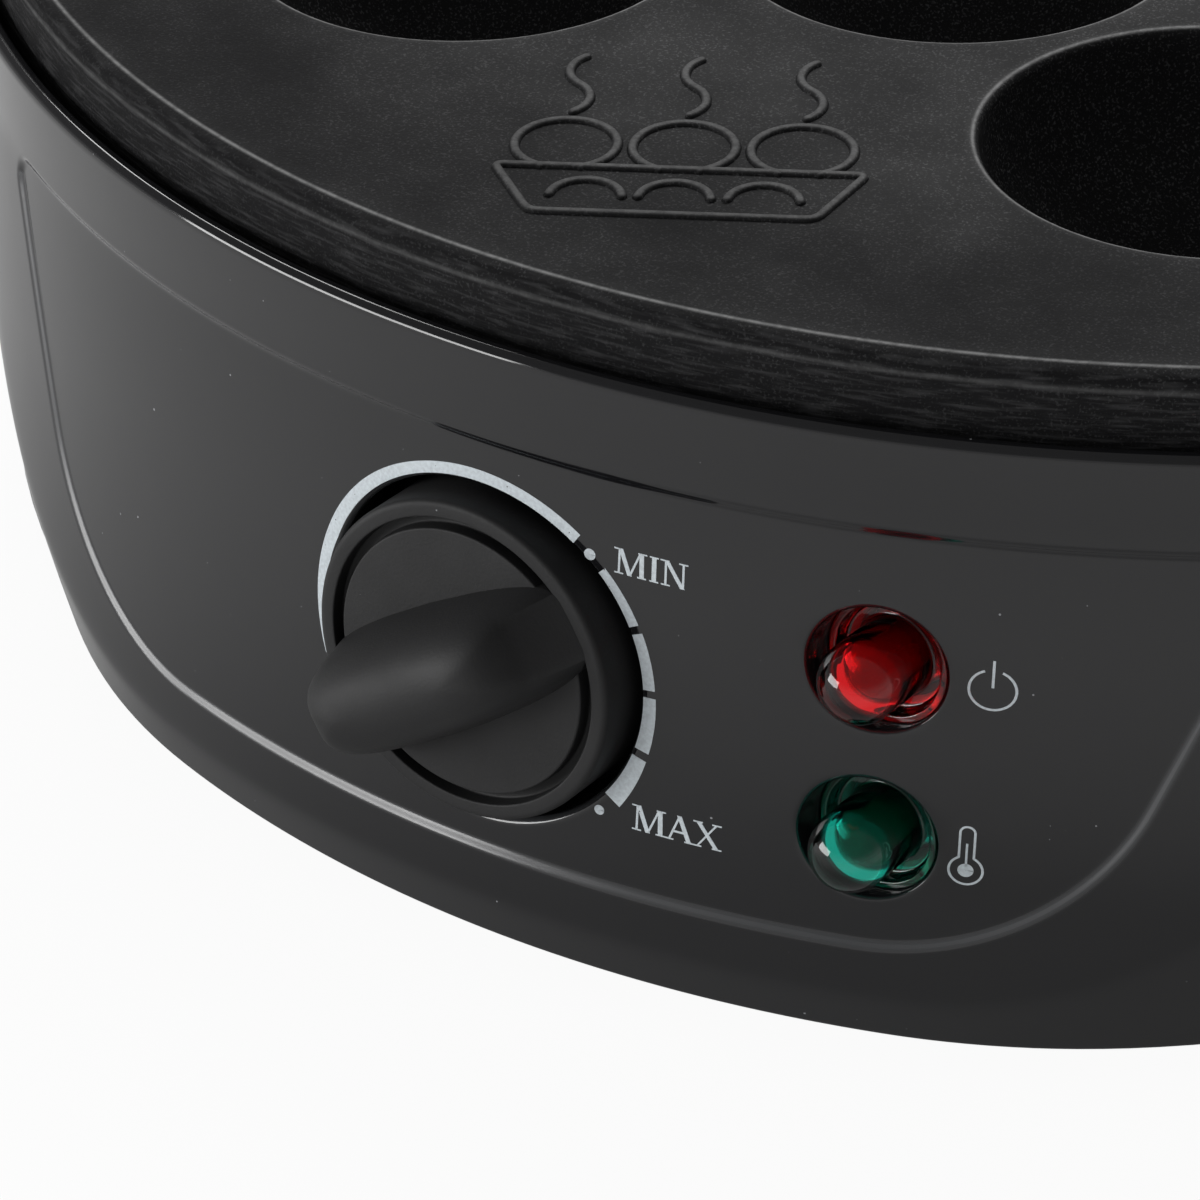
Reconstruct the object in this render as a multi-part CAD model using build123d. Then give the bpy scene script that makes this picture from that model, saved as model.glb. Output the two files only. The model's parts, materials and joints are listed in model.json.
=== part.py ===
from build123d import *
import os
from math import acos, atan, cos, degrees, hypot, radians, sin, sqrt, tan

# Electric takoyaki maker, free standing.  Millimetres, +Z up, front of the cooker towards -Y,
# origin on the table at the centre of the four feet.  The plate is sized by its cups, the
# housing by its plate, and the controls by the fascia's panel that they stand on.

# ---- driving dimensions: cups and cooking plate -----------------------------------------------
cup_radius = 20.0            # half-ball cups
cup_land = 3.5               # land between neighbouring cups
cup_wall = 3.0
cup_turn = 1.3               # degrees that the cups' pattern is turned from the housing's front
cup_rim_round = 0.8
plate_margin = 6.0           # flat rim outside the outer cups
plate_shoulder = 1.6         # rounded shoulder outside the flat top
plate_skin = 3.5
plate_skirt = 10.0           # height of the plate's outer wall
plate_wall = 3.0
plate_gap = 1.0              # between the plate's edge and the housing's lip
plate_proud = 5.8            # plate's top above the lip
motif_half_width = 16.0      # raised ornament where the front cup is left out
motif_line = 1.3
motif_height = 0.6
motif_root = 0.4             # how far the ornament goes down into the plate
motif_shift = 2.0            # ornament's centre outside that of the missing cup
motif_turn = 28.0

# ---- driving dimensions: housing and fascia ---------------------------------------------------
wall = 1.8
housing_height = 57.7
flare = 2.2                  # lip's radius less the hem's
lip_round = 0.8
fascia_top_drop = 9.2        # fascia is flush with the wall this far under the lip
fascia_proud = 3.0           # crease's radius beyond the lip's
fascia_crease_height = 5.0   # crease above the hem
fascia_flat_half = 38.0      # straight part of the crease, each side of the middle
fascia_corner_radius = 47.0
fascia_band_slope = 0.36     # fall of the band outside the crease, per millimetre
panel_half_top = 64.6        # panel's upper corners, each side of the middle
panel_half_bottom = 51.2
panel_top_drop = 9.2         # panel's top under the lip
panel_bottom_rise = 4.8      # panel's bottom above the crease
panel_corner = 23.0
panel_top_corner = 2.5
panel_depth = 0.4            # panel set back from the fascia round it

# ---- driving dimensions: posts, base and feet -------------------------------------------------
post_inset = 11.0            # post's axis inside the plate's flat rim
post_wall = 1.0
post_web = 8.0               # plastic between a plate screw's seat and its spacer
post_lift = 8.0              # post's lower end above the base cover
plate_boss_drop = 12.0       # plate bosses reach this far under the plate's top
plate_boss_step = 0.5        # plate boss is this much slimmer than its post
spacer_height = 4.0
rib_width = 3.0
base_recess = 0.5            # base cover's underside above the hem
base_thickness = 2.4
base_clearance = 0.35
base_boss_radius = 5.5
base_boss_height = 16.0
base_boss_inset = 4.9        # base screw's axis inside the housing's inner face
base_screw_length = 11.0
foot_height = 5.0
foot_radius = 8.0
foot_taper = 0.8
foot_inset = 17.2            # foot's axis inside the hem
foot_recess = 2.2            # screw's seat above the table
foot_boss_radius = 4.0
foot_boss_height = 6.0
foot_screw_grip = 3.3        # foot screw's end above the base cover
vent_length = 34.0
vent_width = 3.2
vent_pitch = 9.0
vent_rows = 4                # vent slots behind and in front of the middle one
vent_side = 24.0             # vent slot's middle from the cooker's
gland_drop = 42.0            # cord gland under the lip, at the rear
gland_bore = 3.6
gland_rubber = 2.0           # rubber round the bore
gland_flange = 2.4
gland_inside = 3.0           # gland's inner end behind the wall
gland_outside = 5.0          # gland's outer end in front of it

# ---- driving dimensions: heating --------------------------------------------------------------
heater_tube_radius = 3.3
heater_under_cups = 1.3      # tube's underside under the cups'
heater_gap_angle = 36.0      # open part of the ring, at the rear
heater_leg = 13.0            # turned-down end, from the ring's middle
heater_pin_radius = 1.2
heater_pin_length = 8.0
heater_seat_side = 0.2       # seat is this much wider than the tube, each side
clamp_thickness = 1.2
clamp_width = 8.0
boss_radius = 3.8
boss_thread = 9.0
clamp_screw_length = 9.0
reflector_thickness = 0.8
reflector_drop = 9.0         # reflector under the heater clamps
reflector_lip = 6.0          # turned-up edge, in and up
reflector_clear = 5.3        # between the reflector's edge and the switch
reflector_leg_clear = 1.2    # round the heater's legs
reflector_vent_radius = 4.0
reflector_vent_inset = 14.0  # vent holes inside the heater ring
reflector_vents = 8
reflector_nut = 7.0          # hexagon spacer, across flats
reflector_screw_grip = 7.0   # reflector screw's end above the bosses' faces
fuse_radius = 2.0
fuse_length = 24.0
fuse_out = 12.0              # fuse outside the heater ring

# ---- driving dimensions: thermostat and knob --------------------------------------------------
knob_above_middle = 1.75     # knob's centre above the middle of the fascia
knob_face_radius = 12.1
knob_groove = 1.0
knob_groove_depth = 1.4
knob_rim = 1.5               # ring outside the groove
knob_rim_round = 0.7
knob_wall = 1.6
knob_top = 3.2               # thickness of the knob's top, rim to hollow
knob_clearance = 1.0         # between the knob and its well
knob_proud = 2.5             # knob face in front of the panel
knob_skirt_length = 9.0
knob_floor_gap = 1.5         # between the skirt and the well's floor
knob_inner_step = 1.0        # the disc's underside inside the skirt's end
hub_wall = 2.5
hub_clearance = 1.0
grip_height = 7.8
grip_half_middle = 5.7       # half widths of the grip's foot: middle, pointer end and tail
grip_half_pointer = 5.1
grip_half_tail = 4.1
grip_angle = 213.0           # pointer end, from +X, anticlockwise seen from the front
grip_on_rim = 0.3            # grip's ends beyond the groove
grip_end_bow = 0.7           # how far each end of the grip bows out
grip_corner = 1.2            # upright corners
grip_draft = 14.0            # lean of the sides
grip_top_end = 5.0           # where the top starts to fall to the tail, from the knob's centre
grip_brow = (2.0, 0.8)       # first, gentle fall to the tail: along and down
grip_tail_edge = 0.3         # height of the tail's end
grip_nose = ((2.6, 0.5), (1.3, 1.1))    # falls to the pointer end: along and down
grip_end_lean = 0.5          # upper edge of the pointer end inside its foot
grip_arch_side = 0.3         # radius of the arch across the crest, beyond the half width
grip_end_arch = 9.0          # radius of the pointer end, seen from the front
spring_wire = 0.9
spring_height = 2.0
spring_gap = 3.0
spindle_radius = 3.0
spindle_clearance = 0.1
spindle_seat = 0.02          # round the spindle inside the knob
spindle_short = 2.0          # spindle's end behind the knob's face
spindle_tail = 3.0           # spindle's end behind the bracket
spindle_end_gap = 1.0
spindle_flat = 1.2           # flat cut from the spindle's side
flat_clearance = 0.04
flat_length = 16.0
bracket_depth = 18.0         # bracket's face behind the panel
bracket_sheet = 1.2
bracket_margin = 3.5         # bracket's lower end under the switch
bracket_drop = 6.0           # bracket's bosses under the plate's skin
bracket_tab = 10.5           # bracket screws behind the bracket's face
bracket_hole_x = 9.0
bracket_side = 4.0           # sheet outside each bracket screw
bracket_back = 6.0           # sheet behind the bracket screws
bracket_boss_thread = 6.0
bush_wall = 1.1
bush_length = 5.0
nut_side = 1.3               # nut's flats outside the bush
nut_thickness = 2.4
switch_radius = 7.5
switch_length = 12.0
contact_count = 2
contact_first = 5.1          # middle of the first contact blade behind the bracket
contact_step = 3.5
contact_width = 5.0
contact_length = 12.0
contact_thickness = 0.6
contact_inside = 4.0         # length of each blade inside the switch

# ---- driving dimensions: lamps ----------------------------------------------------------------
lamp_x = 35.2
lamp_under_knob = 0.7        # middle of the pair of lamps under the knob's centre
lamp_gap = 1.0               # between the two lamps' clips
lamp_dome_radius = 3.5
lamp_dome_reach = 2.3        # dome's centre in front of the panel
lamp_recess = 2.1            # ring between the dome and its hole
lamp_recess_depth = 1.3
lamp_ring = 0.6              # lens's thin outer ring
lamp_ring_slope = 0.3
lamp_set_back = 1.9          # lens's ring behind the panel
lamp_shell = 1.1
lamp_bulb_gap = 0.2
lamp_bulb_reach = 0.5
lamp_tail = 4.5              # slim rear part of the lens
lamp_tail_step = 0.8
lamp_tube_length = 6.5       # sleeve behind the panel, which the lens sits in
lamp_tube_wall = 1.4
lamp_clip_side = 0.4
lamp_clip_thickness = 1.0
lamp_holder = 5.0
lamp_pin_radius = 0.5
lamp_pin_x = 1.6
lamp_pin_length = 5.0

# ---- driving dimensions: terminals and cord clamp ---------------------------------------------
terminal_inset = 31.2        # terminal block's middle inside the hem
terminal_size = (34.0, 14.0, 12.0)
terminal_pitch = 10.0
terminal_bore = 2.2
terminal_screw_bore = 1.8
cord_clamp_behind = 16.0     # cord clamp's middle behind the terminal block's
cord_clamp_size = (26.0, 7.0, 5.0)
cord_clamp_lift = 0.4        # cord's axis above the clamp

# ---- fits and screws --------------------------------------------------------------------------
M4 = 2.0                     # screw shank radii
M3 = 1.5
head_ratio = 1.9             # screw head's radius, in shank radii
head_height = 1.1
cross_width = 0.4
thread_gap = 0.05
screw_clearance = 0.15
wide_clearance = 0.3
seat_gap = 0.05              # between parts that bear on each other
skin_overlap = 0.2           # inner features stop this far inside the housing's outer face
slip = 0.4                   # round a screw head, sleeve or other loose part

# ---- worked-out sizes -------------------------------------------------------------------------
cup_pitch = 2 * cup_radius + cup_land
plate_flat_radius = 2 * cup_pitch + cup_radius + plate_margin
plate_radius = plate_flat_radius + plate_shoulder
lip_inner = plate_radius + plate_gap
lip_radius = lip_inner + wall
hem_radius = lip_radius - flare
crease_radius = lip_radius + fascia_proud

hem_z = foot_height - base_recess
lip_z = hem_z + housing_height
plate_z = lip_z + plate_proud
under_plate_z = plate_z - plate_skin
cup_bottom_z = plate_z - cup_radius - cup_wall
crease_z = hem_z + fascia_crease_height
fascia_top_z = lip_z - fascia_top_drop
base_top_z = foot_height + base_thickness
heater_ring_radius = cup_pitch * 4 / 3
heater_z = cup_bottom_z + heater_tube_radius - heater_under_cups
clamp_top_z = heater_z - heater_tube_radius
clamp_bottom_z = clamp_top_z - clamp_thickness
reflector_z = clamp_bottom_z - reflector_drop
plate_boss_z = plate_z - plate_boss_drop
spacer_z = plate_boss_z - spacer_height
screw_seat_z = spacer_z - post_web
bracket_top_z = under_plate_z - bracket_drop
knob_z = (fascia_top_z + crease_z) / 2 + knob_above_middle

draft = flare / housing_height
fascia_rise = (crease_radius - lip_radius + draft * fascia_top_drop) / (fascia_top_z - crease_z)
control_tilt = degrees(atan(fascia_rise))              # controls stand square to the flared panel

post_bore = M4 * head_ratio + screw_clearance
post_radius = post_bore + post_wall
post_at = plate_flat_radius - post_inset
base_screw_at = hem_radius - wall - base_boss_inset
foot_at = hem_radius - foot_inset
gland_neck = gland_bore + gland_rubber
gland_z = lip_z - gland_drop
terminal_y = hem_radius - terminal_inset

skirt_radius = knob_face_radius + knob_groove + knob_rim
grip_reach = knob_face_radius + knob_groove + grip_on_rim
well_radius = skirt_radius + knob_clearance
knob_low = knob_proud - knob_skirt_length
well_floor = knob_low - knob_floor_gap
hub_radius = spindle_radius + hub_wall
bush_radius = spindle_radius + spindle_clearance + bush_wall
bracket_back_face = -bracket_depth - bracket_sheet
spindle_back = bracket_back_face - spindle_tail
switch_back = bracket_back_face - switch_length

lamp_hole_radius = lamp_dome_radius + lamp_recess
lamp_clip_radius = lamp_hole_radius + lamp_tube_wall + lamp_clip_side
lamp_tail_radius = lamp_dome_radius + lamp_tail_step
lamp_step = lamp_clip_radius + lamp_gap / 2
lamp_heights = {
    "power": knob_z - lamp_under_knob + lamp_step,
    "heat": knob_z - lamp_under_knob - lamp_step,
}

post_angles = (45, 135, 225, 315)
base_screw_angles = (65, 115, 245, 295)
foot_angles = {"front_right": 32, "rear_right": 148, "rear_left": 212, "front_left": 328}
clamp_angles = (90, 210, 330)
reflector_angles = (30, 150, 270)
hollow_step = 30 - degrees(atan(1 / (3 * sqrt(3))))    # between neighbouring hollows among the cups


# ---- helpers ----------------------------------------------------------------------------------
def around(radius, angle, z=0.0):
    """A place at this radius; the angle is 0 at the front and grows towards +X."""
    a = radians(angle)
    return (radius * sin(a), -radius * cos(a), z)


def level(radius, angles):
    """Places in the plane, one for each angle from the front."""
    return [around(radius, angle)[:2] for angle in angles]


def rod(radius, z_low, z_high, at=(0, 0)):
    return Pos(at[0], at[1], z_low) * extrude(Circle(radius), amount=z_high - z_low)


def drill(radius, at):
    """A hole right through everything at this place."""
    return rod(radius, -wall, plate_z + wall, at)


def turned(points):
    """A solid of revolution about Z from (radius, height) corners."""
    face = make_face(Polyline([(r, 0, z) for r, z in points], close=True))
    return revolve(face, Axis.Z, 360)


def slab(z_low, z_high):
    """A level slice as wide as the whole cooker."""
    width = 3 * lip_radius
    return Pos(0, 0, (z_low + z_high) / 2) * Box(width, width, z_high - z_low)


def hexagon(across_flats, height):
    return extrude(RegularPolygon(across_flats / 2, 6, major_radius=False), amount=height)


def pan_screw(shank, length):
    """A screw along Z: head above z = 0, shank below it, with a cross recess."""
    head = shank * head_ratio
    top = shank * head_height
    cross = Box(2 * head, shank * cross_width, shank) + Box(shank * cross_width, 2 * head, shank)
    return rod(shank, -length, 0) + rod(head, 0, top) - Pos(0, 0, top) * cross


def underside_screw(at, seat_z, shank, length):
    """A screw driven upwards, its head under seat_z."""
    return Pos(at[0], at[1], seat_z) * Rot(180, 0, 0) * pan_screw(shank, length)


def together(pieces):
    return Compound(children=list(pieces))


# ---- outside of the housing -------------------------------------------------------------------
def body_radius(z):
    return lip_radius - draft * (lip_z - z)


def fascia_radius(z):
    return body_radius(fascia_top_z) + fascia_rise * (fascia_top_z - z)


def panel_radius(z):
    return fascia_radius(z) - panel_depth


def arc_edge(radius, start, end, z):
    """A level arc about Z between two angles from the front."""
    middle = (start + end) / 2
    return ThreePointArc(around(radius, start, z), around(radius, middle, z), around(radius, end, z))


def fascia_section(z, inset):
    """Level outline of the fascia: an arc in front, then a ramp each side that falls back to
    the round body outside the crease."""
    corner_z = crease_z + fascia_corner_radius
    front = fascia_radius(z)
    back = body_radius(z) - wall / 2
    reach = fascia_corner_radius + (front - back) / fascia_band_slope
    across = max(0.0, corner_z - z)
    inner_u = fascia_flat_half + sqrt(max(0.0, fascia_corner_radius ** 2 - across ** 2))
    outer_u = fascia_flat_half + sqrt(max(0.0, reach ** 2 - across ** 2))
    steps = 4
    ramp = []
    for k in range(steps + 1):
        u = inner_u + (outer_u - inner_u) * k / steps
        fall = hypot(u - fascia_flat_half, across) - fascia_corner_radius
        fall = max(fall, crease_z - z, 0.0)
        ramp.append((front - fascia_band_slope * fall - inset, degrees(u / crease_radius)))
    right = [around(r, a, z) for r, a in ramp]
    left = [around(r, -a, z) for r, a in reversed(ramp)]
    front_r, front_a = ramp[0]
    back_r, back_a = ramp[-1]
    return Wire([
        arc_edge(front_r, -front_a, front_a, z),
        *[Line(a, b) for a, b in zip(right, right[1:])],
        arc_edge(back_r, back_a, -back_a, z),
        *[Line(a, b) for a, b in zip(left, left[1:])],
    ])


def fascia_block(inset):
    """The fascia as a curved block: flush at its top, proud at the crease, with a band that
    falls back to the round body outside the crease.  A positive inset gives the inner shape."""
    corner_z = crease_z + fascia_corner_radius
    over_top = fascia_top_z + wall * 5 / 3
    turn = acos((corner_z - over_top) / fascia_corner_radius)
    steps = 6
    levels = [corner_z - fascia_corner_radius * cos(turn * k / steps) for k in range(steps + 1)]
    levels = [hem_z - wall, hem_z] + levels
    return Solid.make_loft([fascia_section(z, inset) for z in levels], ruled=True)


def outer_body(inset=0.0):
    """Outside of the housing, moved inwards by the inset."""
    low = hem_z - wall
    cone = turned([(0, low), (body_radius(low) - inset, low), (lip_radius - inset, lip_z), (0, lip_z)])
    return cone + fascia_block(inset)


def control_plane(x, z):
    """A plane on the recessed panel, square to it, with its Z pointing out of the cooker."""
    y = -sqrt(panel_radius(z) ** 2 - x ** 2)
    t = radians(control_tilt)
    return Plane(origin=(x, y, z), x_dir=(1, 0, 0), z_dir=(0, -cos(t), sin(t)))


knob_plane = control_plane(0, knob_z)
lamp_planes = {name: control_plane(lamp_x, z) for name, z in lamp_heights.items()}
bracket_hole_y = -(panel_radius(knob_z) - bracket_depth - bracket_tab)
bracket_holes = [(-bracket_hole_x, bracket_hole_y), (bracket_hole_x, bracket_hole_y)]
reflector_radius = panel_radius(knob_z) + switch_back - reflector_clear


# ---- cooking plate ----------------------------------------------------------------------------
def on_plate(radius, angle):
    """A place in the plate's own pattern, which is turned a little from the housing."""
    return around(radius, angle + cup_turn)[:2]


def cup_places():
    """Centres of the cups: a hexagonal grid of two rings, with the front corner left out."""
    places = [(0.0, 0.0)]
    for k in range(6):
        places.append(on_plate(cup_pitch, 60 * k))
        places.append(on_plate(cup_pitch * sqrt(3), 30 + 60 * k))
        if k:
            places.append(on_plate(cup_pitch * 2, 60 * k))
    return places


def clamp_bosses():
    """Pairs of plate bosses, inside and outside the heater ring, one pair for each clamp.
    Each boss stands in the hollow between three cups."""
    inner = cup_pitch * 2 / sqrt(3)
    outer = cup_pitch * sqrt(7 / 3)
    return [(on_plate(inner, a), on_plate(outer, a + hollow_step)) for a in clamp_angles]


def clamp_places():
    return [at for pair in clamp_bosses() for at in pair]


def reflector_bosses():
    """Hollows between the middle cup and its neighbours."""
    return [on_plate(cup_pitch / sqrt(3), a) for a in reflector_angles]


def motif_ring(radius):
    return Circle(radius) - Circle(radius - motif_line)


def motif():
    """Raised outline of a boat-shaped tray with three balls and three waves of steam, drawn in
    shares of its own half width."""
    w = motif_half_width
    deck = -w * 0.28
    keel = -w * 0.78
    ball = w * 0.30
    hull = make_face(Polyline([(-w, deck), (w, deck), (w * 0.76, keel), (-w * 0.76, keel)], close=True))
    hull = fillet(hull.vertices(), motif_line)
    drawing = hull - offset(hull, -motif_line)
    wave = motif_ring(w * 0.22) & Pos(0, w * 0.2) * Rectangle(w, w * 0.4)
    for k in (-1, 0, 1):
        drawing += Pos(k * w * 0.62, deck + ball * 0.8) * motif_ring(ball) - hull
        drawing += Pos(k * w * 0.46, (deck + keel) / 2 - w * 0.08) * wave
    bend = w * 0.24
    sunk = w * 0.14
    rise = sqrt((bend - motif_line / 2) ** 2 - sunk ** 2)
    low = deck + ball * 1.8 + rise + w * 0.06
    bow = Pos(-sunk, 0) * motif_ring(bend) & Pos(bend, 0) * Rectangle(2 * bend, 2 * bend)
    for k in (-1, 0, 1):
        drawing += Pos(k * w * 0.62, low) * bow
        drawing += Pos(k * w * 0.62, low + 2 * rise) * mirror(bow, about=Plane.YZ)
    x, y = on_plate(2 * cup_pitch + motif_shift, 0)
    placed = Pos(x, y, plate_z - motif_root) * Rot(0, 0, motif_turn) * drawing
    return extrude(placed, amount=motif_height + motif_root)


def plate_shell():
    """The plate's flat skin, rounded shoulder and outer skirt."""
    inside = plate_radius - plate_wall
    low = plate_z - plate_skirt
    bulge = plate_shoulder * 0.3
    return turned([
        (0, under_plate_z), (inside, under_plate_z), (inside, low), (plate_radius, low),
        (plate_radius, plate_z - plate_shoulder), (plate_radius - bulge, plate_z - bulge),
        (plate_flat_radius, plate_z), (0, plate_z)])


def cooking_plate():
    places = cup_places()
    root_z = under_plate_z + plate_skin / 3
    body = plate_shell()
    for x, y in places:
        cup = Pos(x, y, plate_z) * Sphere(cup_radius + cup_wall)
        body += cup & slab(cup_bottom_z - wall, plate_z - plate_skin / 3)
    for at in clamp_places() + reflector_bosses():
        body += rod(boss_radius, clamp_top_z, root_z, at)
    for at in bracket_holes:
        body += rod(boss_radius, bracket_top_z, root_z, at)
    for at in level(post_at, post_angles):
        body += rod(post_radius - plate_boss_step, plate_boss_z, root_z, at)
    half = heater_tube_radius + heater_seat_side
    inner = heater_ring_radius - half
    outer = heater_ring_radius + half
    body += turned([(inner, heater_z), (outer, heater_z), (outer, root_z), (inner, root_z)])
    body -= Pos(0, 0, heater_z) * Torus(heater_ring_radius, heater_tube_radius + seat_gap)
    for x, y in places:
        body -= Pos(x, y, plate_z) * Sphere(cup_radius)
    for at in clamp_places() + reflector_bosses():
        body -= rod(M3 + thread_gap, clamp_top_z - wall, clamp_top_z + boss_thread, at)
    for at in bracket_holes:
        body -= rod(M3 + thread_gap, bracket_top_z - wall, bracket_top_z + bracket_boss_thread, at)
    for at in level(post_at, post_angles):
        body -= rod(M4 + thread_gap, plate_boss_z - wall, plate_boss_z + plate_boss_drop * 0.6, at)
    rims = body.edges().filter_by(GeomType.CIRCLE).filter_by(
        lambda e: abs(e.radius - cup_radius) < 0.01 and abs(e.center().Z - plate_z) < 0.01)
    return fillet(rims, cup_rim_round) + motif()


# ---- housing ----------------------------------------------------------------------------------
def panel_outline():
    """The panel's outline, seen from the front."""
    top = lip_z - panel_top_drop
    bottom = crease_z + panel_bottom_rise
    corners = [(-panel_half_top, top), (panel_half_top, top), (panel_half_bottom, bottom),
               (-panel_half_bottom, bottom)]
    face = make_face(Polyline(corners, close=True))
    face = fillet(face.vertices().sort_by(Axis.Y)[:2], panel_corner)
    upper = face.vertices().filter_by(lambda v: abs(v.Y - top) < 0.01)
    return fillet(upper, panel_top_corner)


def panel_recess():
    """The layer that is taken off the fascia round the controls."""
    return extrude(Plane.XZ * panel_outline(), amount=2 * lip_radius) - outer_body(panel_depth)


def plate_post(angle, inside):
    """A post inside the housing with a rib to the wall."""
    low = base_top_z + post_lift
    length = lip_inner - post_at
    rib = Rot(0, 0, angle) * Pos(0, -post_at - length / 2 - wall / 2, (low + spacer_z) / 2)
    rib = rib * Box(rib_width, length, spacer_z - low)
    return (rod(post_radius, low, spacer_z, around(post_at, angle)[:2]) + rib) & inside


def housing_shell():
    inside = outer_body(wall / 2)
    body = outer_body() & slab(hem_z, lip_z)
    body -= outer_body(wall) + rod(lip_inner, lip_z - wall, lip_z + wall)
    for angle in post_angles:
        at = around(post_at, angle)[:2]
        body += plate_post(angle, inside)
        body -= rod(post_bore, 0, screw_seat_z, at)
        body -= rod(M4 + wide_clearance, 0, spacer_z + wall, at)
    for at in level(base_screw_at, base_screw_angles):
        body += rod(base_boss_radius, base_top_z, base_top_z + base_boss_height, at) & inside
        body -= rod(M3 + thread_gap, base_top_z - wall, base_top_z + base_screw_length, at)
    sunk = outer_body(skin_overlap)
    far = 2 * well_radius
    body += (knob_plane * rod(well_radius + wall, well_floor - wall, wall)) & sunk
    body -= knob_plane * rod(well_radius, well_floor, far)
    body -= knob_plane * rod(hub_radius + hub_clearance, well_floor - far, far)
    for plane in lamp_planes.values():
        body += (plane * rod(lamp_hole_radius + lamp_tube_wall, -lamp_tube_length, wall)) & sunk
        body -= plane * rod(lamp_hole_radius, -far, far)
    neck = extrude(Circle(gland_neck + seat_gap), amount=far, both=True)
    body -= Pos(0, hem_radius, gland_z) * Rot(90, 0, 0) * neck
    body -= panel_recess()
    lip_edges = body.edges().filter_by(GeomType.CIRCLE).filter_by(
        lambda e: abs(e.center().Z - lip_z) < 0.01)
    return fillet(lip_edges, min(lip_round, wall * 0.45))


# ---- base -------------------------------------------------------------------------------------
def base_cover():
    disc = outer_body(wall + base_clearance) & slab(foot_height, base_top_z)
    for at in level(foot_at, foot_angles.values()):
        disc += rod(foot_boss_radius, base_top_z - base_thickness / 2, base_top_z + foot_boss_height, at)
        disc -= rod(M3 + thread_gap, 0, base_top_z + foot_boss_height * 0.8, at)
    for at in level(base_screw_at, base_screw_angles):
        disc -= drill(M3 + wide_clearance, at)
    for row in range(-vent_rows, vent_rows + 1):
        for side in (-1, 1):
            slot = Pos(side * vent_side, row * vent_pitch) * SlotOverall(vent_length, vent_width)
            disc -= extrude(slot, amount=2 * base_top_z)
    return disc


def foot(angle):
    pad = Solid.make_cone(foot_radius - foot_taper, foot_radius, foot_height)
    pad = pad - rod(M3 * head_ratio + wide_clearance, -wall, foot_recess)
    pad = pad - rod(M3 + screw_clearance, -wall, foot_height + wall)
    return Pos(*around(foot_at, angle)) * pad


def gland():
    """Rubber grommet in the rear wall, with a flange each side of it."""
    inner_end = -wall - gland_inside
    flange_in = rod(gland_neck + gland_flange * 0.75, inner_end, inner_end + gland_flange)
    flange_out = rod(gland_neck + gland_flange, slip, slip + gland_flange)
    neck = rod(gland_neck, inner_end, gland_outside)
    bore = rod(gland_bore, -gland_drop, gland_drop)
    axis = Pos(0, body_radius(gland_z), gland_z) * Rot(-90, 0, 0)
    return axis * (neck + flange_out + flange_in - bore)


# ---- heating ----------------------------------------------------------------------------------
def heating_element():
    """Sheathed ring heater, open at the rear, with both ends turned down to their pins."""
    half = heater_gap_angle / 2
    start = around(heater_ring_radius, 180 + half, heater_z)
    middle = around(heater_ring_radius, 0, heater_z)
    end = around(heater_ring_radius, 180 - half, heater_z)
    path = ThreePointArc(start, middle, end)
    section = Plane(origin=path @ 0, z_dir=path % 0) * Circle(heater_tube_radius)
    tube = sweep(section, path=path)
    leg_z = heater_z - heater_leg
    for at in (start, end):
        tube += Pos(*at) * Sphere(heater_tube_radius)
        tube += rod(heater_tube_radius, leg_z, heater_z, at[:2])
        tube += rod(heater_pin_radius, leg_z - heater_pin_length, heater_z, at[:2])
    return tube


def strap(a, b):
    """Flat steel clamp under the heater between two bosses."""
    length = hypot(b[0] - a[0], b[1] - a[1])
    turn = degrees(acos((b[0] - a[0]) / length)) * (1 if b[1] > a[1] else -1)
    middle = Pos((a[0] + b[0]) / 2, (a[1] + b[1]) / 2, clamp_bottom_z)
    plan = SlotCenterToCenter(length, clamp_width)
    bar = middle * Rot(0, 0, turn) * extrude(plan, amount=clamp_thickness - seat_gap)
    for at in (a, b):
        bar -= drill(M3 + screw_clearance, at)
    return bar


def reflector():
    """Bright dish under the heater, with holes for its legs and for air."""
    low = reflector_z
    flat = reflector_radius - reflector_lip
    t = reflector_thickness
    dish = turned([
        (0, low), (flat, low), (reflector_radius, low + reflector_lip),
        (reflector_radius - t * 0.6, low + reflector_lip + t * 0.6), (flat - t * 0.4, low + t), (0, low + t)])
    for at in reflector_bosses():
        dish -= drill(M3 + screw_clearance, at)
    half = heater_gap_angle / 2
    for at in level(heater_ring_radius, (180 - half, 180 + half)):
        dish -= drill(heater_tube_radius + reflector_leg_clear, at)
    step = 360 / reflector_vents
    vents = [step * (k + 0.5) for k in range(reflector_vents)]
    for at in level(heater_ring_radius - reflector_vent_inset, vents):
        dish -= drill(reflector_vent_radius, at)
    return dish


def reflector_spacer(at):
    low = reflector_z + reflector_thickness
    nut = hexagon(reflector_nut, clamp_top_z - low - seat_gap)
    return Pos(at[0], at[1], low) * (nut - rod(M3 + thread_gap, -wall, reflector_drop * 3))


def plate_spacer(at):
    """Ceramic collar that keeps the hot plate off its post."""
    collar = rod(post_radius - wide_clearance, spacer_z, plate_boss_z, at)
    return collar - drill(M4 + screw_clearance, at)


def thermal_fuse():
    """Fuse body in a sleeve, on top of the reflector's rear edge."""
    x, y, z = around(heater_ring_radius + fuse_out, 180, reflector_z + reflector_thickness)
    return Pos(x, y, z + fuse_radius + seat_gap) * Rot(0, 90, 0) * Cylinder(fuse_radius, fuse_length)


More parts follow.
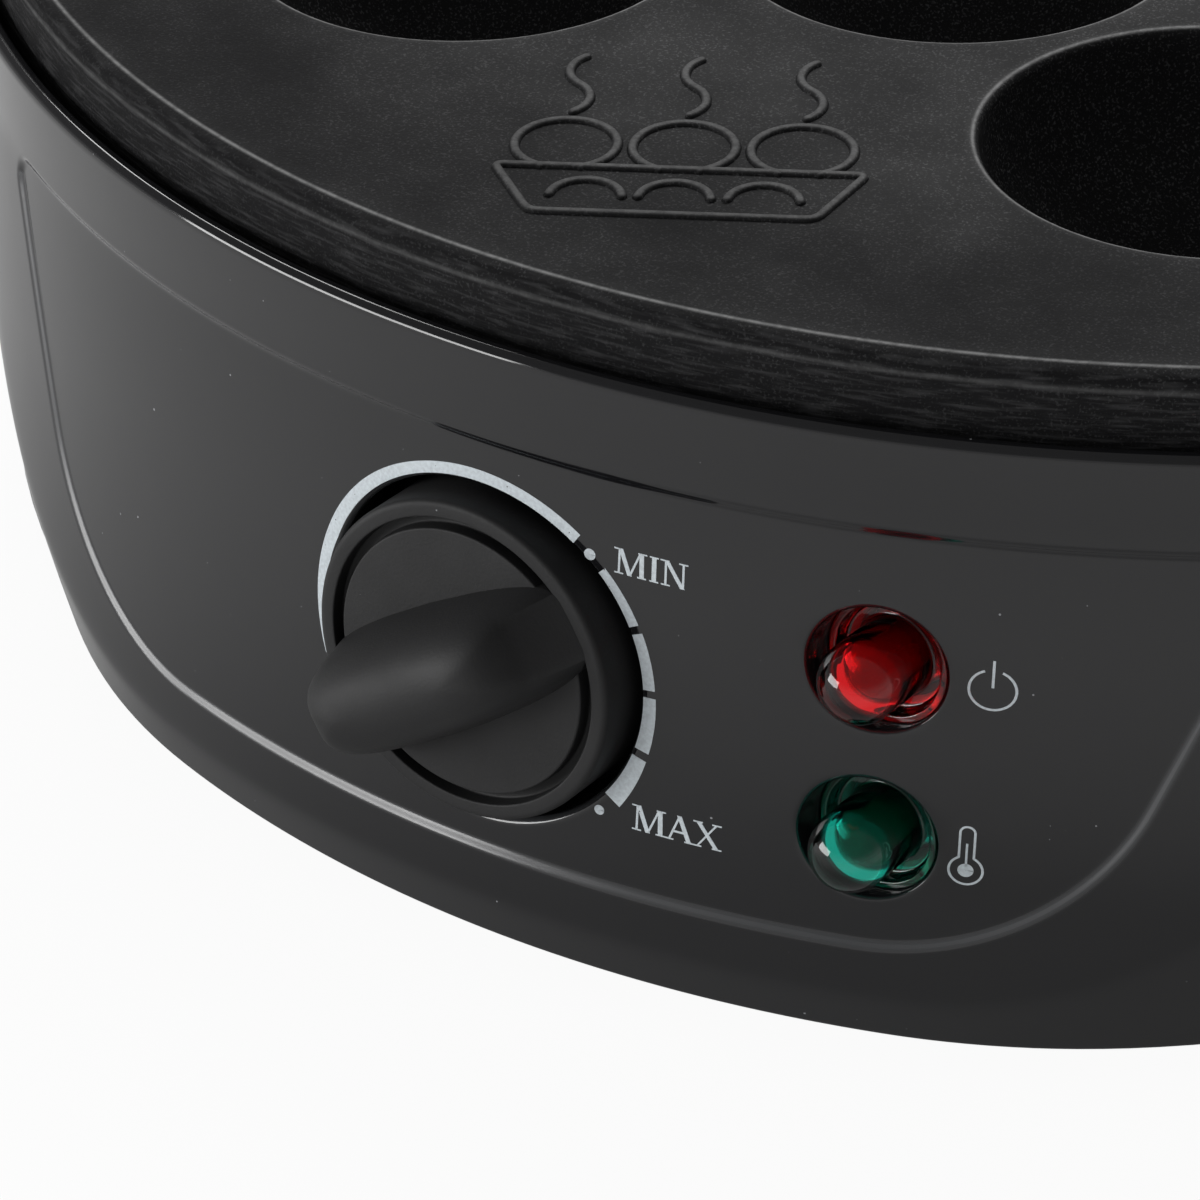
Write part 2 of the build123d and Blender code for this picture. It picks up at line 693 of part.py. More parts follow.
# ---- thermostat and knob, in the control plane's own coordinates --------------------------------
def thermostat_bracket():
    """Angle piece hung from the plate: it holds the thermostat and feeds it the plate's heat."""
    low = -switch_radius - bracket_margin
    high = bracket_top_z - knob_z + bracket_side
    width = 2 * (bracket_hole_x + bracket_side)
    leg = Pos(0, (low + high) / 2, -bracket_depth - bracket_sheet / 2) * Box(width, high - low, bracket_sheet)
    leg = (knob_plane * leg) & slab(0, bracket_top_z)
    front = leg.faces().sort_by(Axis.Z)[-1].bounding_box().min.Y
    back = bracket_hole_y + bracket_back
    tab = Box(width, back - front, bracket_sheet)
    tab = Pos(0, (front + back) / 2, bracket_top_z - bracket_sheet / 2) * tab
    piece = leg + tab - knob_plane * rod(bush_radius + seat_gap, -2 * bracket_depth, 0)
    for at in bracket_holes:
        piece -= drill(M3 + screw_clearance, at)
    return piece


def contact_places():
    """Heights of the contact blades along the knob's axis."""
    return [bracket_back_face - contact_first - contact_step * k for k in range(contact_count)]


def contact_blade(z, gap=0.0):
    """A flat blade that stands out under the switch; with a gap it is the slot for one."""
    middle = -switch_radius - contact_length / 2 + contact_inside
    more = 2 * gap
    return Pos(0, middle, z) * Box(contact_width + more, contact_length + more, contact_thickness + more)


def thermostat_body():
    """Ceramic switch body with its threaded bush."""
    stack = rod(switch_radius, switch_back, bracket_back_face)
    for z in contact_places():
        stack -= contact_blade(z, seat_gap)
    bush = rod(bush_radius, bracket_back_face, bracket_back_face + bracket_sheet + bush_length)
    bore = rod(spindle_radius + spindle_clearance, spindle_back - spindle_end_gap, 0)
    return knob_plane * (stack + bush - bore)


def contact_blades():
    """Spring blades of the switch, clear of the spindle, held in the ceramic."""
    return together(knob_plane * contact_blade(z) for z in contact_places())


def thermostat_nut():
    nut = Pos(0, 0, -bracket_depth + seat_gap) * hexagon(2 * (bush_radius + nut_side), nut_thickness)
    return knob_plane * (nut - rod(bush_radius + seat_gap, -2 * bracket_depth, 0))


def spindle_flat_cut(gap):
    """Block that cuts the spindle's flat; a gap leaves room for the flat inside the knob."""
    block = 2 * spindle_radius
    y = spindle_radius - spindle_flat + gap + block / 2
    return Pos(0, y, -flat_length / 8) * Box(2 * block, block, flat_length)


def spindle():
    shaft = rod(spindle_radius, spindle_back, knob_proud - spindle_short)
    return knob_plane * (shaft - spindle_flat_cut(0))


def grip_outline(height):
    """Outline of the grip at a height, with its pointer end on +X: bowed sides and ends."""
    draw_in = height * tan(radians(grip_draft))
    tail = grip_half_tail - draw_in
    middle = grip_half_middle - draw_in
    pointer = grip_half_pointer - draw_in
    side = grip_reach - grip_end_bow
    upper = ThreePointArc((-side, tail), (0, middle), (side, pointer))
    right = ThreePointArc((side, pointer), (grip_reach, 0), (side, -pointer))
    lower = ThreePointArc((side, -pointer), (0, -middle), (-side, -tail))
    left = ThreePointArc((-side, -tail), (-grip_reach, 0), (-side, tail))
    outline = make_face([upper, right, lower, left])
    return fillet(outline.vertices(), min(grip_corner, tail * 0.8))


def grip_crest():
    """Crest of the grip in its side view, from the tail to the pointer end's foot."""
    along, down = grip_brow
    crest = [(-grip_reach, grip_tail_edge), (-grip_top_end - along, grip_height - down)]
    x = grip_reach - grip_end_lean - sum(step for step, fall in grip_nose)
    z = grip_height
    crest += [(-grip_top_end, z), (x, z)]
    for step, fall in grip_nose:
        x += step
        z -= fall
        crest.append((x, z))
    return crest + [(grip_reach, -2 * knob_groove_depth)]


def under_arch(start, end, radius):
    """All that lies under an arch whose crest runs through two points of the side view."""
    ahead = (end[0] - start[0], 0, end[1] - start[1])
    section = Plane(origin=(start[0], 0, start[1]), x_dir=(0, 1, 0), z_dir=ahead)
    far = 4 * grip_reach
    arch = Pos(0, -radius) * Circle(radius)
    arch += Pos(0, -radius - far / 2) * Rectangle(2 * radius, far)
    return extrude(section * arch, amount=far, both=True)


def knob_grip():
    """The raised grip, which bridges the groove: a leaning outline under arches that follow
    its crest."""
    top = grip_height + seat_gap
    body = loft([grip_outline(0), Pos(0, 0, top) * grip_outline(top)])
    body += extrude(grip_outline(0), amount=-knob_groove_depth)
    crest = grip_crest()
    for start, end in zip(crest, crest[1:-1]):
        body &= under_arch(start, end, grip_half_middle + grip_arch_side)
    return body & under_arch(crest[-2], crest[-1], grip_end_arch)


def knob():
    """A disc with a grooved face and a deep skirt, a hub for the spindle, and the grip."""
    rim_in = knob_face_radius + knob_groove
    skirt_in = skirt_radius - knob_wall
    groove_floor = knob_proud - knob_groove_depth
    body = turned([
        (0, knob_low + knob_inner_step), (skirt_in, knob_low + knob_inner_step), (skirt_in, knob_low),
        (skirt_radius, knob_low), (skirt_radius, knob_proud - knob_rim_round),
        (skirt_radius - knob_rim_round, knob_proud), (rim_in, knob_proud), (rim_in, groove_floor),
        (knob_face_radius, groove_floor), (knob_face_radius, knob_proud), (0, knob_proud)])
    hollow = rod(skirt_in, knob_low - wall, knob_proud - knob_top)
    body -= hollow - rod(hub_radius, knob_low - wall, knob_proud)
    body += rod(hub_radius, well_floor, knob_proud - knob_top / 3)
    body += Rot(0, 0, grip_angle) * Pos(0, 0, knob_proud - seat_gap) * knob_grip()
    bore = rod(spindle_radius + spindle_seat, well_floor - wall, knob_proud - spindle_short)
    return knob_plane * (body - (bore - spindle_flat_cut(flat_clearance)))


def knob_spring():
    """C-shaped steel ring that grips the knob's hub."""
    low = knob_low - spring_height / 2
    coil = rod(hub_radius + spring_wire, low, low + spring_height)
    coil -= rod(hub_radius, low - wall, low + spring_height + wall)
    return knob_plane * (coil - Pos(hub_radius, 0, knob_low) * Box(hub_radius, spring_gap, 2 * spring_height))


# ---- lamps ------------------------------------------------------------------------------------
def lamp_lens(plane):
    """Moulded cap: a flange ring in the panel's sleeve, a recess and a bullet dome."""
    r = lamp_dome_radius
    fit = lamp_hole_radius - seat_gap
    face = -lamp_set_back
    floor = face - lamp_recess_depth
    back = -lamp_tube_length
    shell = turned([(0, back), (fit, back), (fit, face), (fit - lamp_ring, face),
                    (fit - lamp_ring - lamp_ring_slope, floor), (r, floor), (r, lamp_dome_reach),
                    (0, lamp_dome_reach)])
    shell += Pos(0, 0, lamp_dome_reach) * Sphere(r)
    shell += rod(lamp_tail_radius, back - lamp_tail, back)
    inside = r - lamp_shell
    bore = rod(inside, back - lamp_tail - wall, lamp_dome_reach)
    bore += Pos(0, 0, lamp_dome_reach) * Sphere(inside)
    return plane * (shell - bore)


def lamp_neon(plane):
    """Glow lamp: a glass bulb on a small base that plugs the lens from behind."""
    r = lamp_dome_radius - lamp_shell - lamp_bulb_gap
    low = -lamp_tube_length - lamp_tail
    lamp = rod(r, low, lamp_bulb_reach) + Pos(0, 0, lamp_bulb_reach) * Sphere(r)
    lamp += rod(lamp_tail_radius, low - lamp_holder, low)
    for side in (-1, 1):
        pin = (side * lamp_pin_x, 0)
        lamp += rod(lamp_pin_radius, low - lamp_holder - lamp_pin_length, low - lamp_holder, pin)
    return plane * lamp


def lamp_clip(plane):
    """Push-on steel ring that holds the lens against the end of its sleeve."""
    high = -lamp_tube_length - seat_gap
    clip = rod(lamp_clip_radius, high - lamp_clip_thickness, high)
    return plane * (clip - rod(lamp_tail_radius + seat_gap, 2 * high, 0))


# ---- wiring parts -----------------------------------------------------------------------------
def terminal_block():
    length, width, height = terminal_size
    middle = base_top_z + height / 2
    block = Pos(0, terminal_y, middle) * Box(length, width, height)
    for k in (-1, 0, 1):
        x = k * terminal_pitch
        block -= Pos(x, terminal_y, middle) * Rot(90, 0, 0) * Cylinder(terminal_bore, 2 * width)
        block -= rod(terminal_screw_bore, middle, base_top_z + 2 * height, (x, terminal_y))
    return block


def cord_clamp():
    """Saddle on the base cover that holds the cord inside the cooker."""
    length, width, height = cord_clamp_size
    y = terminal_y + cord_clamp_behind
    cord = Pos(0, y, base_top_z + height + cord_clamp_lift) * Rot(90, 0, 0) * Cylinder(gland_bore, 2 * width)
    return Pos(0, y, base_top_z + height / 2) * Box(length, width, height) - cord


# ---- nodes ------------------------------------------------------------------------------------
def screws(places, seat_z, shank, length):
    return together(underside_screw(at, seat_z, shank, length) for at in places)


def fixed_parts():
    posts = level(post_at, post_angles)
    base_screws = level(base_screw_at, base_screw_angles)
    feet = level(foot_at, foot_angles.values())
    foot_screw = base_top_z + foot_screw_grip - foot_recess
    plate_screw = plate_boss_z - screw_seat_z + plate_boss_drop / 2
    reflector_screw = clamp_top_z - reflector_z + reflector_screw_grip
    bracket_seat = bracket_top_z - bracket_sheet
    return {
        "housing_shell": housing_shell(),
        "cooking_plate": cooking_plate(),
        "base_cover": base_cover(),
        "cord_gland": gland(),
        "heating_element": heating_element(),
        "heater_clamps": together(strap(a, b) for a, b in clamp_bosses()),
        "clamp_screws": screws(clamp_places(), clamp_bottom_z, M3, clamp_screw_length),
        "heat_reflector": reflector(),
        "reflector_spacers": together(reflector_spacer(at) for at in reflector_bosses()),
        "reflector_screws": screws(reflector_bosses(), reflector_z, M3, reflector_screw),
        "plate_spacers": together(plate_spacer(at) for at in posts),
        "plate_screws": screws(posts, screw_seat_z, M4, plate_screw),
        "base_screws": screws(base_screws, foot_height, M3, base_screw_length),
        "foot_screws": screws(feet, foot_recess, M3, foot_screw),
        "bracket_screws": screws(bracket_holes, bracket_seat, M3, bracket_boss_thread),
        "terminal_block": terminal_block(),
        "cord_clamp": cord_clamp(),
        "thermal_fuse": thermal_fuse(),
    }


def control_parts():
    parts = {
        "thermostat_bracket": thermostat_bracket(),
        "thermostat_body": thermostat_body(),
        "contact_blades": contact_blades(),
        "thermostat_nut": thermostat_nut(),
        "thermostat_spindle": spindle(),
        "knob": knob(),
        "knob_spring": knob_spring(),
    }
    for name, plane in lamp_planes.items():
        parts[name + "_lamp_lens"] = lamp_lens(plane)
        parts[name + "_lamp_neon"] = lamp_neon(plane)
        parts[name + "_lamp_clip"] = lamp_clip(plane)
    return parts


def foot_parts():
    return {"foot_" + name: foot(angle) for name, angle in foot_angles.items()}


os.makedirs("parts", exist_ok=True)
for name, shape in {**fixed_parts(), **control_parts(), **foot_parts()}.items():
    export_step(shape, "parts/" + name + ".step")
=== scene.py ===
import json
import math

import bmesh
import bpy
import numpy as np
from mathutils import Matrix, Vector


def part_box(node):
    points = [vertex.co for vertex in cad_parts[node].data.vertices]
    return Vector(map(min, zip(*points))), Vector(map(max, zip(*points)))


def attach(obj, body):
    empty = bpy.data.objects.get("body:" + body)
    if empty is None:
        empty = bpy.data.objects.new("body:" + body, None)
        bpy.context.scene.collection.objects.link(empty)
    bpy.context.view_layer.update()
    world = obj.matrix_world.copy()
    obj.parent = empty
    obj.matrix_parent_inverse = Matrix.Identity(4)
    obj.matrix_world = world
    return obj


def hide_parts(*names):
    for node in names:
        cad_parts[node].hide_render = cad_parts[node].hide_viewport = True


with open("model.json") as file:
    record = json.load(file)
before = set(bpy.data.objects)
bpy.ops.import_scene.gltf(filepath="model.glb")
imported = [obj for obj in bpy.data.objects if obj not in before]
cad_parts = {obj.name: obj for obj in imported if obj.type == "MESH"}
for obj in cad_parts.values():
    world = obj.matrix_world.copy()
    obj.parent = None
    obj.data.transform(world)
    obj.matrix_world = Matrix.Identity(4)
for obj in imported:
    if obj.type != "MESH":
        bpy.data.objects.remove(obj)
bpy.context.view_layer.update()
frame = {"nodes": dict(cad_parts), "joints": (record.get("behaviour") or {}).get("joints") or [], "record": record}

bl_info = {
    "name": "Takoyaki cooker",
    "version": (1, 0, 0),
    "blender": (4, 5, 0),
    "location": "View3D > Sidebar > Cooker",
    "description": "Surfaces, prints, finishes and studio of an electric takoyaki cooker",
    "category": "Add Mesh",
}

MM = 0.001
WELD = 2e-6                      # vertices closer than this are one
SLIDES = 10                      # rounds that put a point on the housing
HALVINGS = 40                    # rounds that find where a field reaches a level
PANEL_ROWS = 30                  # rows of the mesh from the well to the panel's step
STEP_ROWS = 13                   # rows over the step round the panel
STEP_REACH = 0.6                 # how far they reach each side of its middle, in its widths
HOLE_ROWS = 6                    # rows round a hole's mouth, and from its window to it
BACK_COLUMNS = 151               # columns of the housing's plain wall
BARE_CELL = 3                    # cell of the plate that holds the ornament, not a cup
TOP_COLUMNS = 96                 # columns of a cell's top, of its underside and of the rim
UNDER_COLUMNS = 48
RIM_COLUMNS = 288

LIP_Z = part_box("housing_shell")[1].z
HEM_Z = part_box("housing_shell")[0].z
GLAND_Z = sum(corner.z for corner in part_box("cord_gland")) / 2
KNOB_TURN = frame["joints"][0]
SLOT_OF = {part["node"]: part["material_slot"] for part in frame["record"]["subparts"]}

ACROSS = np.array([1.0, 0.0, 0.0])
FORWARD = np.array([0.0, -1.0, 0.0])
UPWARD = np.array([0.0, 0.0, 1.0])
LEVEL = np.zeros(3), ACROSS, -FORWARD, UPWARD        # the table's plane

WHITE = (1.0, 1.0, 1.0, 1.0)
# Soft lights: name, place, target, width and depth, in metres, and power in watts.
LIGHTS = (
    ("rear_softbox", (-0.42, 0.81, 1.06), (0.0, 0.0, 0.05), (1.3, 0.55), 18.0),
    ("front_softbox", (-0.95, -1.05, 0.24), (0.0, -0.1, 0.04), (0.9, 0.4), 11.0),
)


# ---- settings ---------------------------------------------------------------------------------
def length(name, description, millimetres):
    """A size, given in millimetres and kept in metres."""
    return bpy.props.FloatProperty(
        name=name, description=description, default=millimetres * MM, unit="LENGTH", precision=5)


def angle(name, description, degrees):
    """A turn, given in degrees and kept in radians."""
    return bpy.props.FloatProperty(
        name=name, description=description, default=math.radians(degrees), subtype="ANGLE")


def share(name, description, value):
    """A plain factor."""
    return bpy.props.FloatProperty(
        name=name, description=description, default=value, subtype="FACTOR")


def colour(name, description, code):
    """A colour, given as an sRGB hex code and kept linear."""
    return bpy.props.FloatVectorProperty(
        name=name, description=description, default=linear(code), subtype="COLOR", size=4,
        min=0, max=1)


def linear(code):
    """An sRGB hex code as linear red, green, blue and a full alpha."""
    shares = [int(code[k:k + 2], 16) / 255 for k in (1, 3, 5)]
    return (*[c / 12.92 if c <= 0.04045 else ((c + 0.055) / 1.055) ** 2.4 for c in shares], 1.0)


class HousingSettings(bpy.types.PropertyGroup):
    lip_radius: length("Lip radius", "Outside of the lip", 117.4)
    flare: length("Flare", "Lip's radius less the hem's", 2.2)
    wall: length("Wall", "Thickness of the moulded wall", 1.8)
    lip_round: length("Lip round", "Height of the rounded lip", 0.8)
    hem_round: length("Hem round", "Height of the rounded hem", 0.5)
    fascia_drop: length("Fascia drop", "Fascia's and panel's top under the lip", 9.2)
    crease_radius: length("Crease radius", "Widest part of the fascia", 120.4)
    crease_rise: length("Crease rise", "Crease above the hem", 5.0)
    fascia_half: length("Fascia half", "Straight part of the crease, each side of the middle", 38.0)
    fascia_corner: length("Fascia corner", "Radius of the crease's corners", 47.0)
    band_slope: share("Band slope", "Fall of the band outside the crease", 0.36)
    crease_soft: length("Crease softness", "Width over which the crease turns", 1.0)
    panel_half_top: length("Panel half width, top", "Half width of the panel's top", 64.6)
    panel_half_bottom: length("Panel half width, bottom", "Half width of the panel's bottom", 51.2)
    panel_rise: length("Panel rise", "Panel's bottom above the crease", 4.8)
    panel_corner: length("Panel corner", "Radius of the lower corners", 23.0)
    panel_top_corner: length("Panel top corner", "Radius of the upper corners", 2.5)
    panel_depth: length("Panel depth", "Panel set back from the fascia", 0.4)
    step_width: length("Step width", "Width of the slope round the panel", 1.4)
    well_radius: length("Well radius", "Knob's well", 15.6)
    well_round: length("Well round", "Rounded mouth of the well", 0.7)
    well_floor: length("Well floor", "Depth of the well", 8.0)
    hub_hole: length("Hub hole", "Radius of the hole for the knob's hub", 6.5)
    lamp_x: length("Lamp place", "Lamps to the right of the knob", 35.2)
    lamp_drop: length("Lamp drop", "Middle of the lamps under the knob's centre", 0.7)
    lamp_step: length("Lamp step", "Each lamp from the middle of the pair", 7.9)
    lamp_hole: length("Lamp hole", "Radius of the lamps' holes", 5.6)
    lamp_round: length("Lamp hole round", "Rounded mouth of the lamps' holes", 0.4)
    sleeve_length: length("Sleeve length", "Sleeve behind each lamp hole", 6.5)
    sleeve_wall: length("Sleeve wall", "Thickness of the lamps' sleeves", 1.4)
    gland_hole: length("Gland hole", "Radius of the cord gland's hole", 5.65)
    side_reach: length("Side reach", "Arc from the middle to where the plain wall starts", 100.0)


class PlateSettings(bpy.types.PropertyGroup):
    top_z: length("Plate height", "Plate's top above the table", 68.0)
    cup_radius: length("Cup radius", "Radius of the half-ball cups", 20.0)
    cup_pitch: length("Cup pitch", "Distance between neighbouring cups", 43.5)
    cup_wall: length("Cup wall", "Metal under the cups", 3.0)
    cup_turn: angle("Cup turn", "Pattern's turn from the front", 1.3)
    rim_round: length("Rim round", "Rounding of the cups' rims", 0.8)
    flat_radius: length("Flat radius", "Edge of the flat top", 113.0)
    edge_round: length("Edge round", "Rounding at the edge of the flat top", 0.3)
    radius: length("Plate radius", "Outside of the plate", 114.6)
    shoulder: length("Shoulder", "Height of the rounded shoulder", 1.6)
    skirt: length("Skirt", "Height of the plate's outer wall", 10.0)
    skirt_wall: length("Skirt wall", "Thickness of the outer wall", 3.0)
    skin: length("Skin", "Thickness of the flat top", 3.5)
    motif_half: length("Ornament half width", "Half width of the raised ornament", 16.0)
    motif_line: length("Ornament line", "Width of the ornament's lines", 0.95)
    motif_height: length("Ornament height", "Height of the ornament's lines", 0.35)
    motif_shift: length("Ornament shift", "Ornament outside the left-out cup", 2.0)
    motif_turn: angle("Ornament turn", "Turn of the ornament", 28.0)


class ControlSettings(bpy.types.PropertyGroup):
    face_radius: length("Knob face", "Radius of the knob's face", 12.1)
    groove: length("Groove", "Width of the groove round the face", 1.0)
    groove_depth: length("Groove depth", "Depth of the groove", 1.4)
    rim: length("Rim", "Ring outside the groove", 1.5)
    skirt_wall: length("Skirt wall", "Thickness of the knob's skirt", 1.6)
    top: length("Knob top", "Thickness behind the knob's face", 3.2)
    proud: length("Knob proud", "Knob's face in front of the panel", 2.5)
    skirt: length("Skirt length", "Knob's skirt behind its face", 9.0)
    hub_radius: length("Hub radius", "Hub round the spindle", 5.5)
    grip_height: length("Grip height", "Grip in front of the face", 7.8)
    grip_reach: length("Grip reach", "Grip's ends from the knob's centre", 13.2)
    grip_half: length("Grip half width", "Half width of the grip's middle", 5.6)
    grip_widening: length("Grip widening", "Gain of the half width up to the pointer", 0.6)
    grip_bow: length("Grip bow", "How far the grip's sides bow out", 1.05)
    grip_lean: length("Grip lean", "How far the sides lean in up to the crown", 2.0)
    crown_pointer: length("Crown, pointer end", "Crown's end towards the pointer", 8.5)
    crown_tail: length("Crown, tail end", "Crown's end towards the tail", 3.5)
    grip_angle: angle("Grip angle", "Pointer's place, from the right, seen from the front", 213.0)
    dome_radius: length("Dome radius", "Lamp lens's dome", 3.5)
    dome_reach: length("Dome reach", "Dome's centre in front of the panel", 2.3)
    lens_recess: length("Lens recess", "Depth of the ring between dome and hole", 1.3)
    lens_back: length("Lens set back", "Lens's outer ring behind the panel", 1.9)
    lens_shell: length("Lens shell", "Thickness of the dome", 1.1)
    lens_hollow: length("Lens hollow", "Centre of the hollow's end in front of the panel", 0.6)
    lens_tail: length("Lens tail", "Slim rear part of the lens", 4.5)
    ink_lift: length("Ink lift", "Print in front of the panel", 0.03)
    ink_sink: length("Ink sink", "Print's back behind the panel's surface", 0.04)


class ColourSettings(bpy.types.PropertyGroup):
    housing: colour("Housing", "Gloss black of the housing", "#161618")
    # also the colour of the painted highlight on the panel's step and the well's mouth
    dust: colour("Dust", "Dust specks on the gloss", "#8d8f92")
    coat: colour("Non-stick coat", "Dark coat of the plate", "#161617")
    fleck: colour("Coat fleck", "Light flecks in the coat", "#4a4a4b")
    worn: colour("Worn edge", "Thin coat on edges", "#7c7c7c")
    knob: colour("Knob", "Satin black of the knob", "#171718")
    red: colour("Red lens", "Tint of the power lamp", "#c91319")
    green: colour("Green lens", "Tint of the heat lamp", "#0f8f7c")
    ink: colour("Print", "Pale print", "#dae3e8")


class StudioSettings(bpy.types.PropertyGroup):
    camera_x: length("Camera X", "Camera to the right of the cooker's centre", 222.05)
    camera_y: length("Camera Y", "Camera behind the cooker's centre", -419.38)
    camera_z: length("Camera Z", "Camera above the table", 280.27)
    heading: angle("Heading", "View's turn to the left of straight back", 34.816)
    tilt: angle("Tilt", "View's fall below the horizon", 32.962)
    roll: angle("Roll", "Camera's roll", -1.369)
    lens: bpy.props.FloatProperty(
        name="Lens", description="Focal length on a 36 mm sensor, in millimetres", default=161.05)
    floor_radius: length("Floor radius", "Half width of the floor", 4000.0)


# ---- points, grids and meshes -----------------------------------------------------------------
def soft_max(a, b, width):
    """The larger of two values, with the corner between them rounded over about this width:
    half of their sum and of the root of their squared difference plus the squared width."""
    return (a + b + np.sqrt((a - b) ** 2 + width ** 2)) / 2


def soft_step(x):
    """Rises from 0 to 1 as x does, level at both ends, as the quintic 6x^5 - 15x^4 + 10x^3."""
    x = np.clip(x, 0.0, 1.0)
    return x ** 3 * (10 - 15 * x + 6 * x ** 2)


def rows_between(first, last, shares):
    """Rows of points that lie the given shares of the way from one row to another."""
    return np.stack([first + (last - first) * share for share in shares])


def polar(radius, theta):
    """A flat place from its radius and its angle."""
    return radius * np.cos(theta), radius * np.sin(theta)


def grid(points, closed=False, hole=None):
    """A grid of points (rows, columns, 3) and its quads; closed joins the last column to the
    first, and hole names the first and last row and column of a window that is left open."""
    rows, columns = points.shape[:2]
    index = np.arange(rows * columns).reshape(rows, columns)
    if closed:
        index = np.concatenate([index, index[:, :1]], axis=1)
    quads = np.stack([index[:-1, :-1], index[:-1, 1:], index[1:, 1:], index[1:, :-1]], axis=-1)
    keep = np.ones(quads.shape[:2], bool)
    for top, bottom, left, right in hole or []:
        keep[top:bottom, left:right] = False
    return points.reshape(-1, 3), quads[keep]


def zip_rings(ring_a, ring_b):
    """Triangles between two closed rings of points about Z.  All the points are taken in order
    of their angle, and each new one makes a triangle with the latest points of both rings."""
    count_a, count_b = len(ring_a), len(ring_b)
    ring_a = ring_a[np.argsort(np.arctan2(ring_a[:, 1], ring_a[:, 0]))]
    ring_b = ring_b[np.argsort(np.arctan2(ring_b[:, 1], ring_b[:, 0]))]
    points = np.concatenate([ring_a, ring_b])
    order = np.argsort(np.arctan2(points[:, 1], points[:, 0]), kind="stable")
    from_a = order < count_a
    now_a = np.cumsum(from_a) - 1
    now_b = np.cumsum(~from_a) - 1
    before = np.where(from_a, (now_a - 1) % count_a, (now_b - 1) % count_b + count_a)
    triangles = np.stack([before, now_a % count_a, now_b % count_b + count_a], axis=-1)
    return points, triangles


def window(distance, limit):
    """First and last row and column of the cells of a grid that lie within the limit."""
    near = distance < limit
    rows = np.flatnonzero(near.any(axis=1))
    columns = np.flatnonzero(near.any(axis=0))
    return rows[0], rows[-1], columns[0], columns[-1]


def window_edge(points, hole):
    """The points round a window of a grid, in order."""
    top, bottom, left, right = hole
    return np.concatenate([
        points[top, left:right], points[top:bottom, right],
        points[bottom, right:left:-1], points[bottom:top:-1, left]])


def make_piece(name, patches, material, body, sharp=35.0, marks=None):
    """Joins patches of points and faces into one mesh, with its doubles merged, its faces
    turned outwards and its edges kept sharp above an angle in degrees."""
    faces = []
    start = 0
    for points, patch_faces in patches:
        faces += (start + patch_faces).tolist()
        start += len(points)
    mesh = bpy.data.meshes.new(name)
    mesh.from_pydata(np.concatenate([points for points, _ in patches]).tolist(), [], faces)
    for mark, values in (marks or {}).items():
        attribute = mesh.attributes.new(mark, "FLOAT", "POINT")
        attribute.data.foreach_set("value", np.concatenate(values).astype(np.float32))
    shell = bmesh.new()
    shell.from_mesh(mesh)
    bmesh.ops.remove_doubles(shell, verts=shell.verts, dist=WELD)
    bmesh.ops.recalc_face_normals(shell, faces=shell.faces)
    shell.to_mesh(mesh)
    shell.free()
    mesh.shade_smooth()
    mesh.set_sharp_from_angle(angle=math.radians(sharp))
    mesh.materials.append(material)
    piece = bpy.data.objects.new(name, mesh)
    bpy.context.scene.collection.objects.link(piece)
    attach(piece, body)
    return piece


def place(plane, a, b, height):
    """Points of a plane at (a, b), this far in front of it."""
    origin, across, up, out = plane
    a, b, height = np.broadcast_arrays(a, b, height)
    return origin + a[..., None] * across + b[..., None] * up + height[..., None] * out


def revolved(plane, profile, columns):
    """A profile of (radius, height) turned about the plane's outward axis."""
    profile = np.array(profile)
    theta = np.arange(columns) * 2 * np.pi / columns
    a, b = polar(profile[:, :1], theta)
    return place(plane, a, b, profile[:, 1:])


def rounded(corners, radii, steps=5):
    """A profile with its corners rounded: each corner is replaced by a curve from one radius
    before it to one radius after it, the quadratic through both with the corner as control."""
    corners = np.array(corners, float)
    points = [corners[:1]]
    t = np.linspace(0, 1, steps + 1)[:, None]
    for before, corner, after, radius in zip(corners, corners[1:], corners[2:], radii):
        if radius == 0:
            points.append(corner[None])
            continue
        start = corner + (before - corner) * radius / np.linalg.norm(before - corner)
        end = corner + (after - corner) * radius / np.linalg.norm(after - corner)
        points.append((1 - t) ** 2 * start + 2 * t * (1 - t) * corner + t ** 2 * end)
    points.append(corners[-1:])
    return np.concatenate(points)


# ---- outside of the housing -------------------------------------------------------------------
def crease_z(size):
    """Height of the fascia's lowest, widest line."""
    return HEM_Z + size.crease_rise


def panel_top_z(size):
    """Height of the fascia's and the panel's top."""
    return LIP_Z - size.fascia_drop


def body_radius(size, z):
    """Straight flared wall: the lip's radius less the draft times the drop under the lip."""
    return size.lip_radius - size.flare / (LIP_Z - HEM_Z) * (LIP_Z - z)


def fascia_radius(size, z):
    """Straight line from the wall at the fascia's top to the crease."""
    top = panel_top_z(size)
    flush = body_radius(size, top)
    return flush + (size.crease_radius - flush) * (top - z) / (top - crease_z(size))


def beyond_crease(size, u, z):
    """Distance outside the crease, whose outline is a wide U: a straight bottom with two round
    corners.  It is the distance to the corners' centres or the straight part, less the radius."""
    across = np.abs(u) - size.fascia_half
    down = crease_z(size) + size.fascia_corner - z
    outside = np.hypot(np.maximum(across, 0), np.maximum(down, 0))
    return outside + np.minimum(np.maximum(across, down), 0) - size.fascia_corner


def shell_radius(size, turn, z):
    """Radius of the housing at an angle from the front and a height: the larger of the plain
    wall and the fascia, which falls by the band's slope times the distance beyond the crease.
    Both corners are softened, the second one more with that distance, up to a limit."""
    least, growth, limit = 0.15 * MM, 0.12, 6 * MM
    beyond = beyond_crease(size, size.crease_radius * turn, z)
    front = fascia_radius(size, z) - size.band_slope * soft_max(beyond, 0.0, size.crease_soft)
    softness = least + growth * np.clip(beyond, 0.0, limit)
    return soft_max(body_radius(size, z), front, softness)


